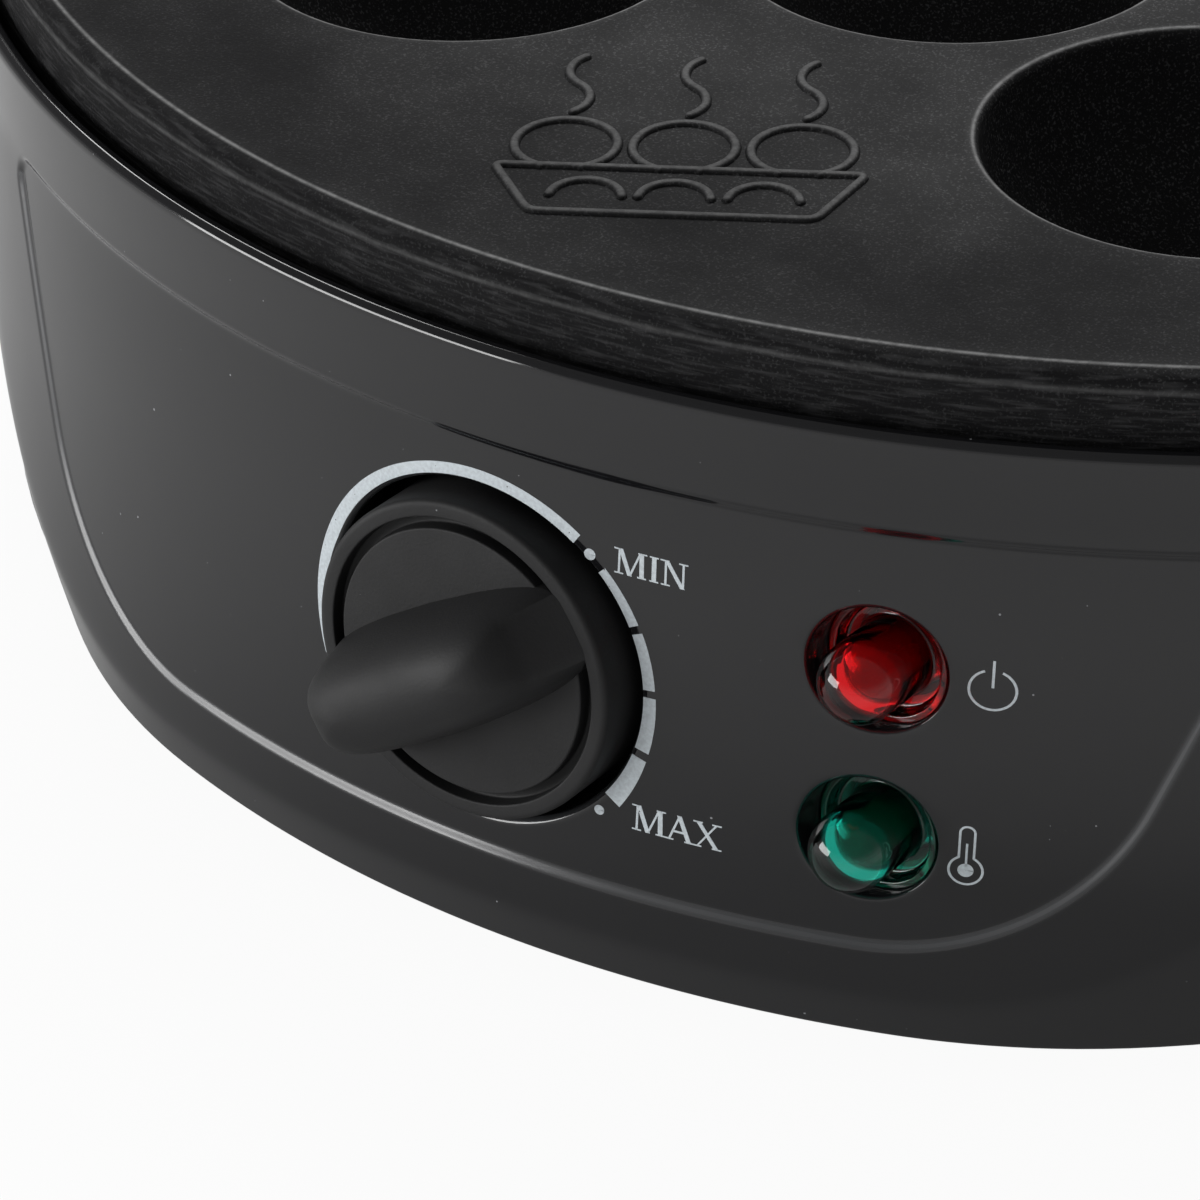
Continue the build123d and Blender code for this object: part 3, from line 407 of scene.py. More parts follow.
def shell_point(size, turn, z, inset):
    """Point of the housing at an angle from the front and a height, moved in by the inset."""
    turn, z, inset = np.broadcast_arrays(turn, z, inset)
    radius = shell_radius(size, turn, z) - inset
    return np.stack([radius * np.sin(turn), -radius * np.cos(turn), z], axis=-1)


def on_shell(size, plane, a, b, inset):
    """Points over (a, b) of a plane, slid along its outward axis until their radius is that of
    the housing less the inset, by Newton's rule."""
    out = plane[3]
    a, b, inset = np.broadcast_arrays(a, b, inset)
    points = place(plane, a, b, 0.0)
    for _ in range(SLIDES):
        turn = np.arctan2(points[..., 0], -points[..., 1])
        radius = np.hypot(points[..., 0], points[..., 1])
        gap = radius - shell_radius(size, turn, points[..., 2]) + inset
        facing = np.sin(turn) * out[0] - np.cos(turn) * out[1]
        points = points - (gap / facing)[..., None] * out
    return points


def front_plane(size):
    """The upright plane before the housing's front."""
    return np.array([0.0, -size.lip_radius, 0.0]), ACROSS, UPWARD, FORWARD


def rear_plane(size):
    """The upright plane behind the housing, about the cord gland."""
    return np.array([0.0, size.lip_radius, GLAND_Z]), -ACROSS, UPWARD, -FORWARD


def knob_plane():
    """The plane that the knob turns in, from the joint's place and axis."""
    out = np.array(KNOB_TURN["axis"], float)
    out = out / np.linalg.norm(out)
    return np.array(KNOB_TURN["pos_m"], float), ACROSS, np.cross(out, ACROSS), out


def lamp_plane(size, side):
    """A lamp's plane, parallel to the knob's, with its origin on the panel."""
    origin, across, up, out = knob_plane()
    b = side * size.lamp_step - size.lamp_drop
    flat = origin[0] + size.lamp_x, origin[2] + b
    spot = on_shell(size, front_plane(size), np.array(flat[0]), np.array(flat[1]), size.panel_depth)
    return spot, across, up, out


# ---- housing ----------------------------------------------------------------------------------
def panel_loop(size, grow):
    """Closed outline of the panel, seen from the front, moved outwards by grow: arcs about the
    corners' centres, with straight runs between them, from the bottom's middle to the right.
    Each corner has its place, radius, edges' normals, and steps up to it and round it."""
    top_steps = 66
    top = panel_top_z(size)
    bottom = crease_z(size) + size.panel_rise
    side = np.array([size.panel_half_top - size.panel_half_bottom, top - bottom])
    side = np.array([side[1], -side[0]]) / np.linalg.norm(side)
    corners = [
        ((size.panel_half_bottom, bottom), size.panel_corner, (0.0, -1.0), side, 28, 26),
        ((size.panel_half_top, top), size.panel_top_corner, side, (0.0, 1.0), 28, 16)]
    runs = [np.array([[0.0, bottom - grow]])]
    for corner, radius, before, after, straight, bends in corners:
        normals = np.array([before, after])
        centre = np.linalg.solve(normals, normals @ np.array(corner) - radius)
        start, end = np.arctan2(normals[:, 1], normals[:, 0])
        theta = np.linspace(start, end, bends + 1)
        arc = centre + (radius + grow) * np.stack([np.cos(theta), np.sin(theta)], axis=-1)
        runs.append(rows_between(runs[-1][-1], arc[0], np.arange(1, straight) / straight))
        runs.append(arc)
    shares = np.arange(1, top_steps + 1) / top_steps
    runs.append(rows_between(runs[-1][-1], np.array([0.0, top + grow]), shares))
    half = np.concatenate(runs)
    return np.concatenate([half, half[-2:0:-1] * (-1, 1)])


def ray_lengths(height, directions, middle, level):
    """Lengths of rays from the middle to where a field reaches a level, by halving."""
    beyond_all = 0.2
    low = np.zeros(len(directions))
    high = np.full(len(directions), beyond_all)
    for _ in range(HALVINGS):
        half = (low + high) / 2
        inside = height(directions[:, 0] * half, middle + directions[:, 1] * half) < level
        low = np.where(inside, half, low)
        high = np.where(inside, high, half)
    return low


def front_skin(size, inset, mouth, step_rows):
    """Grid of the housing's front, as closed loops about the knob: from the well's mouth over
    the panel, its sloping step and the crease, to a rectangle from hem to lip."""
    plane = knob_plane()
    front = front_plane(size)
    middle = plane[0][2]
    inner = panel_loop(size, -STEP_REACH * size.step_width)
    theta = np.arctan2(inner[:, 1] - middle, inner[:, 0])
    start = on_shell(size, plane, *polar(mouth, theta), inset + size.panel_depth)
    ring = np.stack([start[:, 0], start[:, 2]], axis=-1)
    over_panel = rows_between(ring, inner, np.linspace(0, 1, PANEL_ROWS + 1)[:-1])
    a, b = over_panel[..., 0], over_panel[..., 1]
    rows = [on_shell(size, front, a, b, inset + size.panel_depth)]
    rows[0][0] = start
    for place_across in np.linspace(-STEP_REACH, STEP_REACH, step_rows):
        loop = panel_loop(size, place_across * size.step_width)
        sunk = size.panel_depth * (1 - soft_step(place_across + 0.5))
        rows.append(on_shell(size, front, loop[:, 0], loop[:, 1], inset + sunk)[None])
    edge = rows[-1][0]
    along = size.crease_radius * np.arctan2(edge[:, 0], -edge[:, 1])
    places = np.stack([along, edge[:, 2] - middle], axis=-1)
    first = np.linalg.norm(places, axis=1)
    directions = places / first[:, None]
    closing_z, closing_slope = LIP_Z - 4.4 * MM, 1.6     # where the loops turn along the lip
    band_width = 2.4 * MM                                # finely meshed band outside the crease

    def field(u, z):
        return np.maximum(beyond_crease(size, u, z), (z - closing_z) * closing_slope)

    crease = ray_lengths(field, directions, middle, 0.0)
    band = ray_lengths(field, directions, middle, band_width)
    near = 1 - (1 - np.linspace(0, 1, 9)[1:]) ** 1.7     # rows that close up to the crease
    far = np.linspace(0, 1, 6)[1:] ** 1.5                # and open out beyond it
    reach = np.concatenate([rows_between(first, crease, near), rows_between(crease, band, far)])
    u, z = reach * directions[:, 0], middle + reach * directions[:, 1]
    low_z, high_z = HEM_Z + size.hem_round, LIP_Z - size.lip_round
    with np.errstate(divide="ignore"):
        to_side = size.side_reach / np.abs(directions[:, 0])
        level = np.where(directions[:, 1] > 0, high_z - middle, middle - low_z)
        to_level = level / np.abs(directions[:, 1])
    reach = np.minimum(to_side, to_level)
    border = np.stack([reach * directions[:, 0], middle + reach * directions[:, 1]], axis=-1)
    for corner in [(x, y) for x in (-size.side_reach, size.side_reach) for y in (low_z, high_z)]:
        border[np.argmin(np.linalg.norm(border - corner, axis=1))] = corner
    outer = rows_between(np.stack([u[-1], z[-1]], axis=-1), border, np.linspace(0, 1, 8)[1:])
    u = np.concatenate([u, outer[..., 0]])
    z = np.concatenate([z, outer[..., 1]])
    rows.append(shell_point(size, u / size.crease_radius, z, inset))
    return np.concatenate(rows), border


def hole_rim(size, plane, theta, mouth, rounding, inset):
    """Rounded mouth of a hole: rows that turn from the surface down along the plane's axis."""
    rows = []
    for bend in np.linspace(0, np.pi / 2, HOLE_ROWS):
        a, b = polar(mouth - rounding * math.sin(bend), theta)
        drop = rounding * (1 - math.cos(bend))
        rows.append(on_shell(size, plane, a, b, inset) - drop * plane[3])
    return rows


def ring_patch(size, points, hole, plane, mouth, inset):
    """Fills a window of a grid down to a round mouth, and gives the mouth's angles."""
    edge = window_edge(points, hole)
    a = (edge - plane[0]) @ plane[1]
    b = (edge - plane[0]) @ plane[2]
    theta = np.arctan2(b, a)
    flat = np.stack([a, b], axis=-1)
    circle = np.stack(polar(mouth, theta), axis=-1)
    rows = rows_between(flat, circle, np.linspace(0, 1, HOLE_ROWS))
    filled = on_shell(size, plane, rows[..., 0], rows[..., 1], inset)
    filled[0] = edge
    return grid(filled, closed=True), theta


def cell_distance(points, plane):
    """Distance of each cell's centre from the plane's axis."""
    centres = (points[:-1, :-1] + points[1:, 1:]) / 2 - plane[0]
    return np.hypot(centres @ plane[1], centres @ plane[2])


def build_housing(size, material):
    """Outer and inner skins with the knob's well, the lamps' sleeves and the gland's hole, joined at lip and hem
    by half-round edges into one closed shell.  A mark tells the panel's step, below its top edge, and the well's
    mouth, half as strong; there the gloss gets a painted highlight and more roughness."""
    lamp_window, gland_window = 7.3 * MM, 8.5 * MM       # half widths of the mesh's open windows
    fillet, seat = 0.8 * MM, 3 * MM                      # round the well's floor and its hole
    patches = []
    knob = knob_plane()
    lamps = [lamp_plane(size, side) for side in (1, -1)]
    rear = rear_plane(size)
    lamp_mouth = size.lamp_hole + size.lamp_round
    sleeve = size.lamp_hole + size.sleeve_wall
    well_mouth = size.well_radius + size.well_round
    well_back = size.well_radius + size.wall
    panel_back = size.wall + size.panel_depth
    outer, border = front_skin(size, 0.0, well_mouth, STEP_ROWS)
    inner, _ = front_skin(size, size.wall, well_back, 2)
    lamp_holes = [window(cell_distance(outer, plane), lamp_window) for plane in lamps]
    side_z = np.sort(border[border[:, 0] > size.side_reach - WELD, 1])
    side_turn = size.side_reach / size.crease_radius
    back_turns = np.linspace(side_turn, 2 * np.pi - side_turn, BACK_COLUMNS)
    backs = [shell_point(size, back_turns, side_z[:, None], inset) for inset in (0.0, size.wall)]
    gland_hole = window(cell_distance(backs[0], rear), gland_window)

    patches += [grid(front, closed=True, hole=lamp_holes) for front in (outer, inner)]
    patches += [grid(back, hole=[gland_hole]) for back in backs]
    for plane, hole in zip(lamps, lamp_holes):
        patch, theta = ring_patch(size, outer, hole, plane, lamp_mouth, size.panel_depth)
        patch_in, theta_in = ring_patch(size, inner, hole, plane, sleeve, panel_back)
        rows = hole_rim(size, plane, theta, lamp_mouth, size.lamp_round, size.panel_depth)
        rows.append(place(plane, *polar(size.lamp_hole, theta), -size.sleeve_length))
        rows.append(place(plane, *polar(sleeve, theta_in), -size.sleeve_length))
        rows.append(on_shell(size, plane, *polar(sleeve, theta_in), panel_back))
        patches += [patch, patch_in, grid(np.stack(rows), closed=True)]
    through = []
    for back, inset in zip(backs, (0.0, size.wall)):
        patch, theta = ring_patch(size, back, gland_hole, rear, size.gland_hole, inset)
        patches.append(patch)
        through.append(on_shell(size, rear, *polar(size.gland_hole, theta), inset))
    patches.append(grid(np.stack(through), closed=True))

    loop = panel_loop(size, -STEP_REACH * size.step_width)
    theta = np.arctan2(loop[:, 1] - knob[0][2], loop[:, 0])
    rows = hole_rim(size, knob, theta, well_mouth, size.well_round, size.panel_depth)
    floor = -size.well_floor
    for radius, height in [
            (size.well_radius, floor + fillet),
            (size.well_radius - 0.3 * fillet, floor + 0.3 * fillet),
            (size.well_radius - fillet, floor), (size.hub_hole + seat, floor),
            (size.hub_hole, floor), (size.hub_hole, floor - size.wall),
            (well_back, floor - size.wall)]:
        rows.append(place(knob, *polar(radius, theta), height))
    rows.append(on_shell(size, knob, *polar(well_back, theta), panel_back))
    well = len(patches)
    patches.append(grid(np.stack(rows), closed=True))

    bend = np.linspace(0, np.pi, 11)[:, None]
    lip, hem = size.lip_round, -size.hem_round
    for z, height in ((LIP_Z - lip, lip), (HEM_Z - hem, hem)):
        front_turns = np.sort(border[np.abs(border[:, 1] - z) < WELD, 0]) / size.crease_radius
        for turns in (front_turns, back_turns):
            points = shell_point(size, turns, z, size.wall / 2 * (1 - np.cos(bend)))
            points[..., 2] = z + height * np.sin(bend)
            patches.append(grid(points))
    return make_piece("moulded_housing", patches, material, "cooker",
                      marks={"step": step_marks(size, outer, patches, well, len(loop))})


def step_marks(size, outer, patches, well, columns):
    """Marks of the panel's step, where the gloss gets a painted highlight: 4 s (1 - s) for the share s of the
    step's height, below its top edge, and a half on the middle rows of the well's round mouth."""
    under_edge, mouth_mark = 2 * MM, 0.5
    share = soft_step(np.linspace(-STEP_REACH, STEP_REACH, STEP_ROWS) + 0.5)
    rows = slice(PANEL_ROWS, PANEL_ROWS + STEP_ROWS)
    slope = np.zeros(outer.shape[:2])
    below = outer[rows, :, 2] < panel_top_z(size) - under_edge
    slope[rows] = (4 * share * (1 - share))[:, None] * below
    marks = [slope.ravel()] + [np.zeros(len(points)) for points, _ in patches[1:]]
    row = np.arange(len(marks[well])) // columns
    marks[well] = np.where((row > 1) & (row < HOLE_ROWS - 1), mouth_mark, 0.0)
    return marks


# ---- cooking plate ----------------------------------------------------------------------------
def cell_centres(size):
    """Hexagonal grid of two rings about the middle, whose front corner is the bare cell."""
    places = [(0.0, 0.0)]
    for k in range(6):
        for steps, turn in ((1, 60 * k), (math.sqrt(3), 30 + 60 * k), (2, 60 * k)):
            turn = math.radians(turn) + size.cup_turn
            reach = steps * size.cup_pitch
            places.append((reach * math.sin(turn), -reach * math.cos(turn)))
    return np.array(places)


def cell_rows(size, centre, profile, columns):
    """A hexagonal cell: its border, then circles of a profile of (radius, height)."""
    theta = np.arange(columns) * 2 * np.pi / columns
    side = (theta + np.pi / 6) % (np.pi / 3) - np.pi / 6
    border = size.cup_pitch / 2 / np.cos(side)
    circles = np.broadcast_to(profile[:, :1], (len(profile), columns))
    heights = profile[[0, *range(len(profile))], 1]
    a, b = polar(np.concatenate([border[None], circles]), theta + size.cup_turn - np.pi / 2)
    points = place(LEVEL, a, b, size.top_z + heights[:, None])
    return points + (*centre, 0.0), border


def cup_profile(size):
    """From the flat over a round rim into the half ball: the rim's circle touches the flat and
    the ball, so its centre lies the ball's radius plus its own from the ball's centre.  The
    rim is worn about one of its angles."""
    worn_angle, worn_spread = 110, 12
    rim = size.rim_round
    out = math.sqrt((size.cup_radius + rim) ** 2 - rim ** 2)
    touch = math.atan2(rim, out)
    bend = np.linspace(np.pi / 2, np.pi - touch, 12)
    dip = np.linspace(touch, np.pi / 2, 19)[1:]
    rim_part = np.stack([out + rim * np.cos(bend), -rim + rim * np.sin(bend)], axis=-1)
    ball = np.stack([size.cup_radius * np.cos(dip), -size.cup_radius * np.sin(dip)], axis=-1)
    flat = np.array([[out + 0.5 * MM, 0.0]])
    rim_wear = np.exp(-((np.degrees(bend) - worn_angle) / worn_spread) ** 2)
    wear = np.concatenate([[0.0, 0.0], rim_wear, np.zeros(len(dip))])
    return np.concatenate([flat, rim_part, ball]), wear


def outer_points(cells):
    """Border points of the whole cluster: those whose edge belongs to a single cell."""
    snap = 20 * WELD
    starts = np.concatenate([cell[0] for cell in cells])
    ends = np.concatenate([np.roll(cell[0], -1, axis=0) for cell in cells])
    middles = np.round((starts + ends)[:, :2] / 2 / snap).astype(int)
    _, back, number = np.unique(middles, axis=0, return_inverse=True, return_counts=True)
    alone = number[back.ravel()] == 1
    points = np.concatenate([starts[alone], ends[alone]])
    _, first = np.unique(np.round(points[:, :2] / snap).astype(int), axis=0, return_index=True)
    return points[first]


def rim_ring(size):
    """The plate's edge as a turned ring, from the flat over the shoulder and down the skirt to
    the underside, with its marks: wear falls off from both edges as exp(-(distance / width)^2),
    and the turned side starts just under the flat."""
    edge, radius, shoulder = size.flat_radius, size.radius, size.shoulder
    low, inside = -size.skirt, radius - size.skirt_wall
    corners = [(edge - 2.2 * MM, 0), (edge, 0), (edge + 0.75 * shoulder, -0.3 * shoulder),
               (radius, -shoulder), (radius, low), (inside, low), (inside, -size.skin),
               (inside - 1.5 * MM, -size.skin)]
    rounds = [size.edge_round] + [r * MM for r in (0.5, 0.35, 0.4, 0.4, 0.8)]
    radii, heights = rounded(corners, rounds).T
    to_edge = np.hypot(radii - edge, heights)
    to_shoulder = np.hypot(radii - radius, heights + shoulder)
    wear = np.exp(-(to_edge / (0.16 * MM)) ** 2) + 0.3 * np.exp(-(to_shoulder / (0.2 * MM)) ** 2)
    side = soft_step((-heights / shoulder - 0.08) / 0.2) * (radii > inside + 1 * MM)
    ring = revolved(LEVEL, np.stack([radii, size.top_z + heights], axis=-1), RIM_COLUMNS)
    return ring, np.repeat(wear, RIM_COLUMNS), np.repeat(side, RIM_COLUMNS)


def build_plate(size, material):
    """Cup cells, the flat rim round them, the turned edge and a plain underside, in one closed
    surface.  Marks tell worn edges and the turned side from the coat.  The underside is flat,
    but for bowls that follow the cups: the root of the bowl's squared radius less r^2."""
    profile, cup_wear = cup_profile(size)
    flat_profile = np.stack([np.linspace(size.cup_pitch * 0.4, 0.0, 4), np.zeros(4)], axis=-1)
    under_radii = np.array([0.46, *np.linspace(0.42, 0, 8)]) * size.cup_pitch
    bowl = size.cup_radius + size.cup_wall

    def under_depth(radius):
        return -np.maximum(size.skin, np.sqrt(np.maximum(bowl ** 2 - radius ** 2, 0.0)))

    tops, unders, patches, wear = [], [], [], []
    for k, centre in enumerate(cell_centres(size)):
        bare = k == BARE_CELL
        points, _ = cell_rows(size, centre, flat_profile if bare else profile, TOP_COLUMNS)
        tops.append(points)
        patches.append(grid(points, closed=True))
        wear.append(np.zeros(points[..., 0].size) if bare else np.repeat(cup_wear, TOP_COLUMNS))
        depth = np.full(len(under_radii), -size.skin) if bare else under_depth(under_radii)
        under = np.stack([under_radii, depth], axis=-1)
        points, border = cell_rows(size, centre, under, UNDER_COLUMNS)
        points[0, :, 2] = size.top_z + under_depth(border)
        unders.append(points)
        patches.append(grid(points, closed=True))
        wear.append(np.zeros(points[..., 0].size))
    ring, ring_wear, ring_side = rim_ring(size)
    patches += [grid(ring, closed=True), zip_rings(outer_points(tops), ring[0]),
                zip_rings(outer_points(unders), ring[-1])]
    blank = [np.zeros(len(points)) for points, _ in patches]
    marks = {"wear": wear + [ring_wear] + blank[-2:],
             "turned": blank[:-3] + [ring_side] + blank[-2:]}
    return make_piece("coated_plate", patches, material, "cooker",
                      sharp=50.0, marks=marks)


# ---- raised ornament --------------------------------------------------------------------------
def arc_path(centre, radius, start, end, steps):
    """Points of an arc between two angles in degrees."""
    theta = np.radians(np.linspace(start, end, steps))
    return centre + np.stack(polar(radius, theta), axis=-1)


def ribbon(path, closed, width, height, root):
    """A raised line along a path: its section is a flat-topped arch, the height times one minus
    the fourth power of the share across, closed by a flat bottom.  Open ends narrow to a point
    along a half circle."""
    scale = np.ones(len(path))
    if closed:
        along = np.roll(path, -1, axis=0) - np.roll(path, 1, axis=0)
    else:
        ahead, behind = path[-1] - path[-2], path[0] - path[1]
        bend = np.linspace(0, np.pi / 2, 6)[1:]
        reach = np.sin(bend)[:, None] * width / 2
        scale = np.concatenate([np.cos(bend)[::-1], scale, np.cos(bend)])
        front = path[0] + reach[::-1] * behind / np.linalg.norm(behind)
        back = path[-1] + reach * ahead / np.linalg.norm(ahead)
        path = np.concatenate([front, path, back])
        along = np.gradient(path, axis=0)
    normal = np.stack([-along[:, 1], along[:, 0]], axis=-1)
    normal = normal / np.linalg.norm(normal, axis=1, keepdims=True)
    s = np.linspace(-1, 1, 11)
    sides = np.concatenate([s, s[::-1]])[None, :, None]
    lifts = np.concatenate([height * (1 - np.abs(s) ** 4), np.full(len(s), -root)])
    flat = path[:, None] + normal[:, None] * (sides * width / 2) * scale[:, None, None]
    lift = np.where(lifts > 0, lifts * np.sqrt(scale)[:, None], lifts)
    points = np.concatenate([flat, lift[..., None]], axis=-1)
    return np.concatenate([points, points[:1]]) if closed else points


def motif_paths(size):
    """Lines of a boat-shaped tray with three balls, three waves of steam and a wave band, in
    shares of the ornament's half width: (points, closed).  A steam wave is two equal arcs that
    bend left and right of its middle line."""
    w = size.motif_half
    half_line = size.motif_line / 2
    deck, keel, ball, spacing = -0.28 * w, -0.78 * w, 0.30 * w, 0.62 * w
    hull = [(0, deck), (w, deck), (0.76 * w, keel), (-0.76 * w, keel), (-w, deck), (0, deck)]
    hull = np.array(hull) * (1 - half_line / w) + (0, -half_line * 0.3)
    paths = [(rounded(hull, [2 * half_line] * 4, 6)[:-1], True)]
    bend, sunk = 0.24 * w - half_line, 0.14 * w
    rise = math.sqrt(bend ** 2 - sunk ** 2)
    low = deck + 1.8 * ball + rise + 0.06 * w
    sweep = math.degrees(math.acos(sunk / bend))
    for k in (-1, 0, 1):
        x = spacing * k
        paths.append((arc_path((x, deck + 0.8 * ball), ball - half_line, -66, 246, 40), False))
        wave = (0.46 * w * k, (deck + keel) / 2 - 0.08 * w)
        paths.append((arc_path(wave, 0.22 * w - half_line, 8, 172, 18), False))
        lower = arc_path((x - sunk, low), bend, -sweep, sweep, 14)
        upper = arc_path((x + sunk, low + 2 * rise), bend, 180 + sweep, 180 - sweep, 14)
        paths.append((np.concatenate([lower, upper[1:]]), False))
    return paths


def build_ornament(size, material):
    """The ornament's raised lines, turned and set on the plate where a cup is left out.  Their
    tops are a little worn."""
    root, worn = 0.2 * MM, 0.35
    reach = 2 * size.cup_pitch + size.motif_shift
    across, forward = polar(reach, size.cup_turn - math.pi / 2)
    centre = np.array([across, forward, size.top_z])
    c, s = math.cos(size.motif_turn), math.sin(size.motif_turn)
    turn = np.array([[c, s, 0], [-s, c, 0], [0, 0, 1]])
    patches, wear = [], []
    for path, closed in motif_paths(size):
        points = ribbon(path, closed, size.motif_line, size.motif_height, root)
        patches.append(grid(points @ turn + centre, closed=True))
        wear.append(np.clip(points[..., 2] / size.motif_height, 0, 1).ravel() ** 4 * worn)
    return make_piece("raised_ornament", patches, material, "cooker",
                      sharp=60.0, marks={"wear": wear, "turned": [0 * w for w in wear]})


# ---- knob -------------------------------------------------------------------------------------
def build_knob(size, material):
    """A turned disc with hub, skirt, groove and rim, and a grip on it."""
    rim_in = size.face_radius + size.groove
    rim_out = rim_in + size.rim
    skirt_in = rim_out - size.skirt_wall
    face, hub, disc = size.proud, size.hub_radius, size.face_radius
    low, web, floor = face - size.skirt, face - size.top, face - size.groove_depth
    hub_end = low - 1.4 * MM
    corners = [(0, hub_end), (hub, hub_end), (hub, web), (skirt_in, web), (skirt_in, low),
               (rim_out, low), (rim_out, face), (rim_in, face), (rim_in, floor), (disc, floor),
               (disc, face), (0, face)]
    rounds = [0.4, 0.5, 0.5, 0.3, 0.3, 0.6, 0.2, 0.25, 0.25, 0.2]
    profile = rounded(corners, [r * MM for r in rounds], 6)
    patches = [grid(revolved(knob_plane(), profile, 192), closed=True)]
    patches.append(grid(grip_rows(size), closed=True))
    return make_piece("control_knob", patches, material, "knob", sharp=40.0)


def grip_rows(size):
    """The grip as level outlines from its foot in the groove up to the crown's ridge.  With x
    for the share of the height, an outline reaches towards the pointer by the root of
    1 - x^4.7 and towards the tail by (1 - 0.52 root x) times the root of 1 - x^7, from each end
    of the crown.  Its half width falls evenly by the lean and then by the root of 1 - x^6, and
    follows a parabola along the grip.  The plan is a superellipse, blunt at the foot."""
    columns = 160
    x = np.sin(np.linspace(0, np.pi / 2, 26)) ** (1 / 3)
    foot = -size.groove_depth - 0.1 * MM
    height = np.concatenate([[foot, foot, -0.2 * MM], x * size.grip_height])[:, None]
    x = np.concatenate([[0.0, 0.0, 0.0], x])[:, None]
    crown, tail = size.crown_pointer, size.crown_tail
    ahead = crown + (size.grip_reach - crown) * np.sqrt(1 - x ** 4.7)
    behind = tail + (size.grip_reach - tail) * (1 - 0.52 * np.sqrt(x)) * np.sqrt(1 - x ** 7)
    across = (1 - x * size.grip_lean / size.grip_half) * np.sqrt(np.maximum(1 - x ** 6, 0.0))
    across[0] = 0.0
    blunt = 2 / (6.5 - 3.2 * x ** 2)
    a, b = polar(1.0, np.arange(columns) * 2 * np.pi / columns)
    a, b = np.sign(a) * np.abs(a) ** blunt, np.sign(b) * np.abs(b) ** blunt
    a = (ahead - behind) / 2 + (ahead + behind) / 2 * a
    along = a / size.grip_reach
    b = b * across * (size.grip_half + size.grip_widening * along - size.grip_bow * along ** 2)
    c, s = math.cos(size.grip_angle), math.sin(size.grip_angle)
    return place(knob_plane(), a * c - b * s, a * s + b * c, size.proud + height)


# ---- lamps ------------------------------------------------------------------------------------
def build_lens(housing, size, side, name, material):
    """A lens: a ring in its sleeve, a sunk ring, and a hollow dome on a straight neck."""
    plane = lamp_plane(housing, side)
    dome, reach = size.dome_radius, size.dome_reach
    fit = housing.lamp_hole - 0.05 * MM          # loose in its sleeve
    ring, slope_end = fit - 0.6 * MM, fit - 0.9 * MM
    face = -size.lens_back
    floor = face - size.lens_recess
    back = -housing.sleeve_length
    end = back - size.lens_tail
    tail = dome + 0.8 * MM
    hollow = dome - size.lens_shell
    bend = np.linspace(0, np.pi / 2, 25)
    outside = [(hollow, end), (tail, end), (tail, back), (fit, back), (fit, face), (ring, face),
               (slope_end, floor), (dome, floor), (dome, reach)]
    outside = rounded(outside, [r * MM for r in (0.3, 0.2, 0.2, 0.15, 0.15, 0.3, 0.3)], 4)
    dome_part = np.stack([dome * np.cos(bend), reach + dome * np.sin(bend)], axis=-1)
    bend = bend[::-1]
    hollow_part = np.stack(
        [hollow * np.cos(bend), size.lens_hollow + hollow * np.sin(bend)], axis=-1)
    profile = np.concatenate([outside[:-1], dome_part, hollow_part, outside[:1]])
    lens = name.replace("_cap", "_lens")
    piece = make_piece(name, [grid(revolved(plane, profile, 96), closed=True)], material,
                       "cooker", sharp=50.0)
    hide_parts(lens)
    return piece


# ---- print ------------------------------------------------------------------------------------
def ink_slab(housing, size, a, b):
    """A thin closed slab over a grid of places (a, b) of the knob's plane, laid on the panel."""
    plane = knob_plane()
    base = housing.panel_depth
    top = on_shell(housing, plane, a, b, base - size.ink_lift)
    under = on_shell(housing, plane, a, b, base + size.ink_sink)
    rim = [top[0], top[:, -1], top[-1, ::-1], top[::-1, 0]]
    rim_under = [under[0], under[:, -1], under[-1, ::-1], under[::-1, 0]]
    side = np.stack([np.concatenate(rim), np.concatenate(rim_under)])
    return [grid(top), grid(under), grid(side, closed=True)]


def ink_sector(housing, size, centre, inner, outer, start, end, steps):
    """Print between two radii, each given at both ends, and two angles in degrees."""
    share = np.linspace(0, 1, steps)
    theta = np.radians(start + (end - start) * share)
    low = inner[0] + (inner[1] - inner[0]) * share
    high = outer[0] + (outer[1] - outer[0]) * share
    radius = rows_between(low, high, np.linspace(0, 1, 4)) * MM
    a, b = polar(radius, theta)
    return ink_slab(housing, size, a + centre[0] * MM, b + centre[1] * MM)


def ink_bar(housing, size, start, end, width):
    """Print along a straight line whose ends are level, as the strokes of type are."""
    share = np.linspace(0, 1, 4)[:, None]
    a = start[0] + (end[0] - start[0]) * share + np.linspace(-0.5, 0.5, 3) * width
    b = start[1] + (end[1] - start[1]) * share + np.zeros(3)
    return ink_slab(housing, size, a * MM, b * MM)


# The print, in millimetres from the knob's centre.  Arcs: middle, inner and outer radius at the
# start and at the end, first and last angle in degrees, and columns.
KNOB, POWER, HEAT = (0.0, 0.0), (44.3, 7.4), (43.2, -9.75)
ARCS = (
    (KNOB, (16.0, 15.95), (17.05, 17.05), 110, 55, 40),
    (KNOB, (16.0, 16.1), (17.05, 17.35), 110, 160, 40),
    (KNOB, (16.1, 17.0), (17.35, 17.75), 160, 201, 30),
    (KNOB, (15.95, 15.95), (16.75, 16.85), 43.6, 24.8, 20),
    (KNOB, (15.95, 15.95), (16.92, 17.0), 22.3, 4.3, 20),
    (KNOB, (15.95, 15.95), (17.05, 17.25), 1.9, -16.3, 20),
    (KNOB, (15.95, 15.95), (17.3, 17.65), -19.0, -37.2, 20),
    ((10.7, 12.45), (0.02, 0.02), (0.52, 0.52), 0, 360, 32),
    ((12.2, -11.5), (0.02, 0.02), (0.46, 0.46), 0, 360, 32),
    (HEAT, (0.02, 0.02), (0.62, 0.62), 0, 360, 32),
    (POWER, (1.70, 1.70), (1.90, 1.90), 112, 428, 60),
    (HEAT, (1.22, 1.22), (1.41, 1.41), 116, 424, 50),
    ((43.2, -6.2), (0.49, 0.49), (0.67, 0.67), 0, 180, 20),
)
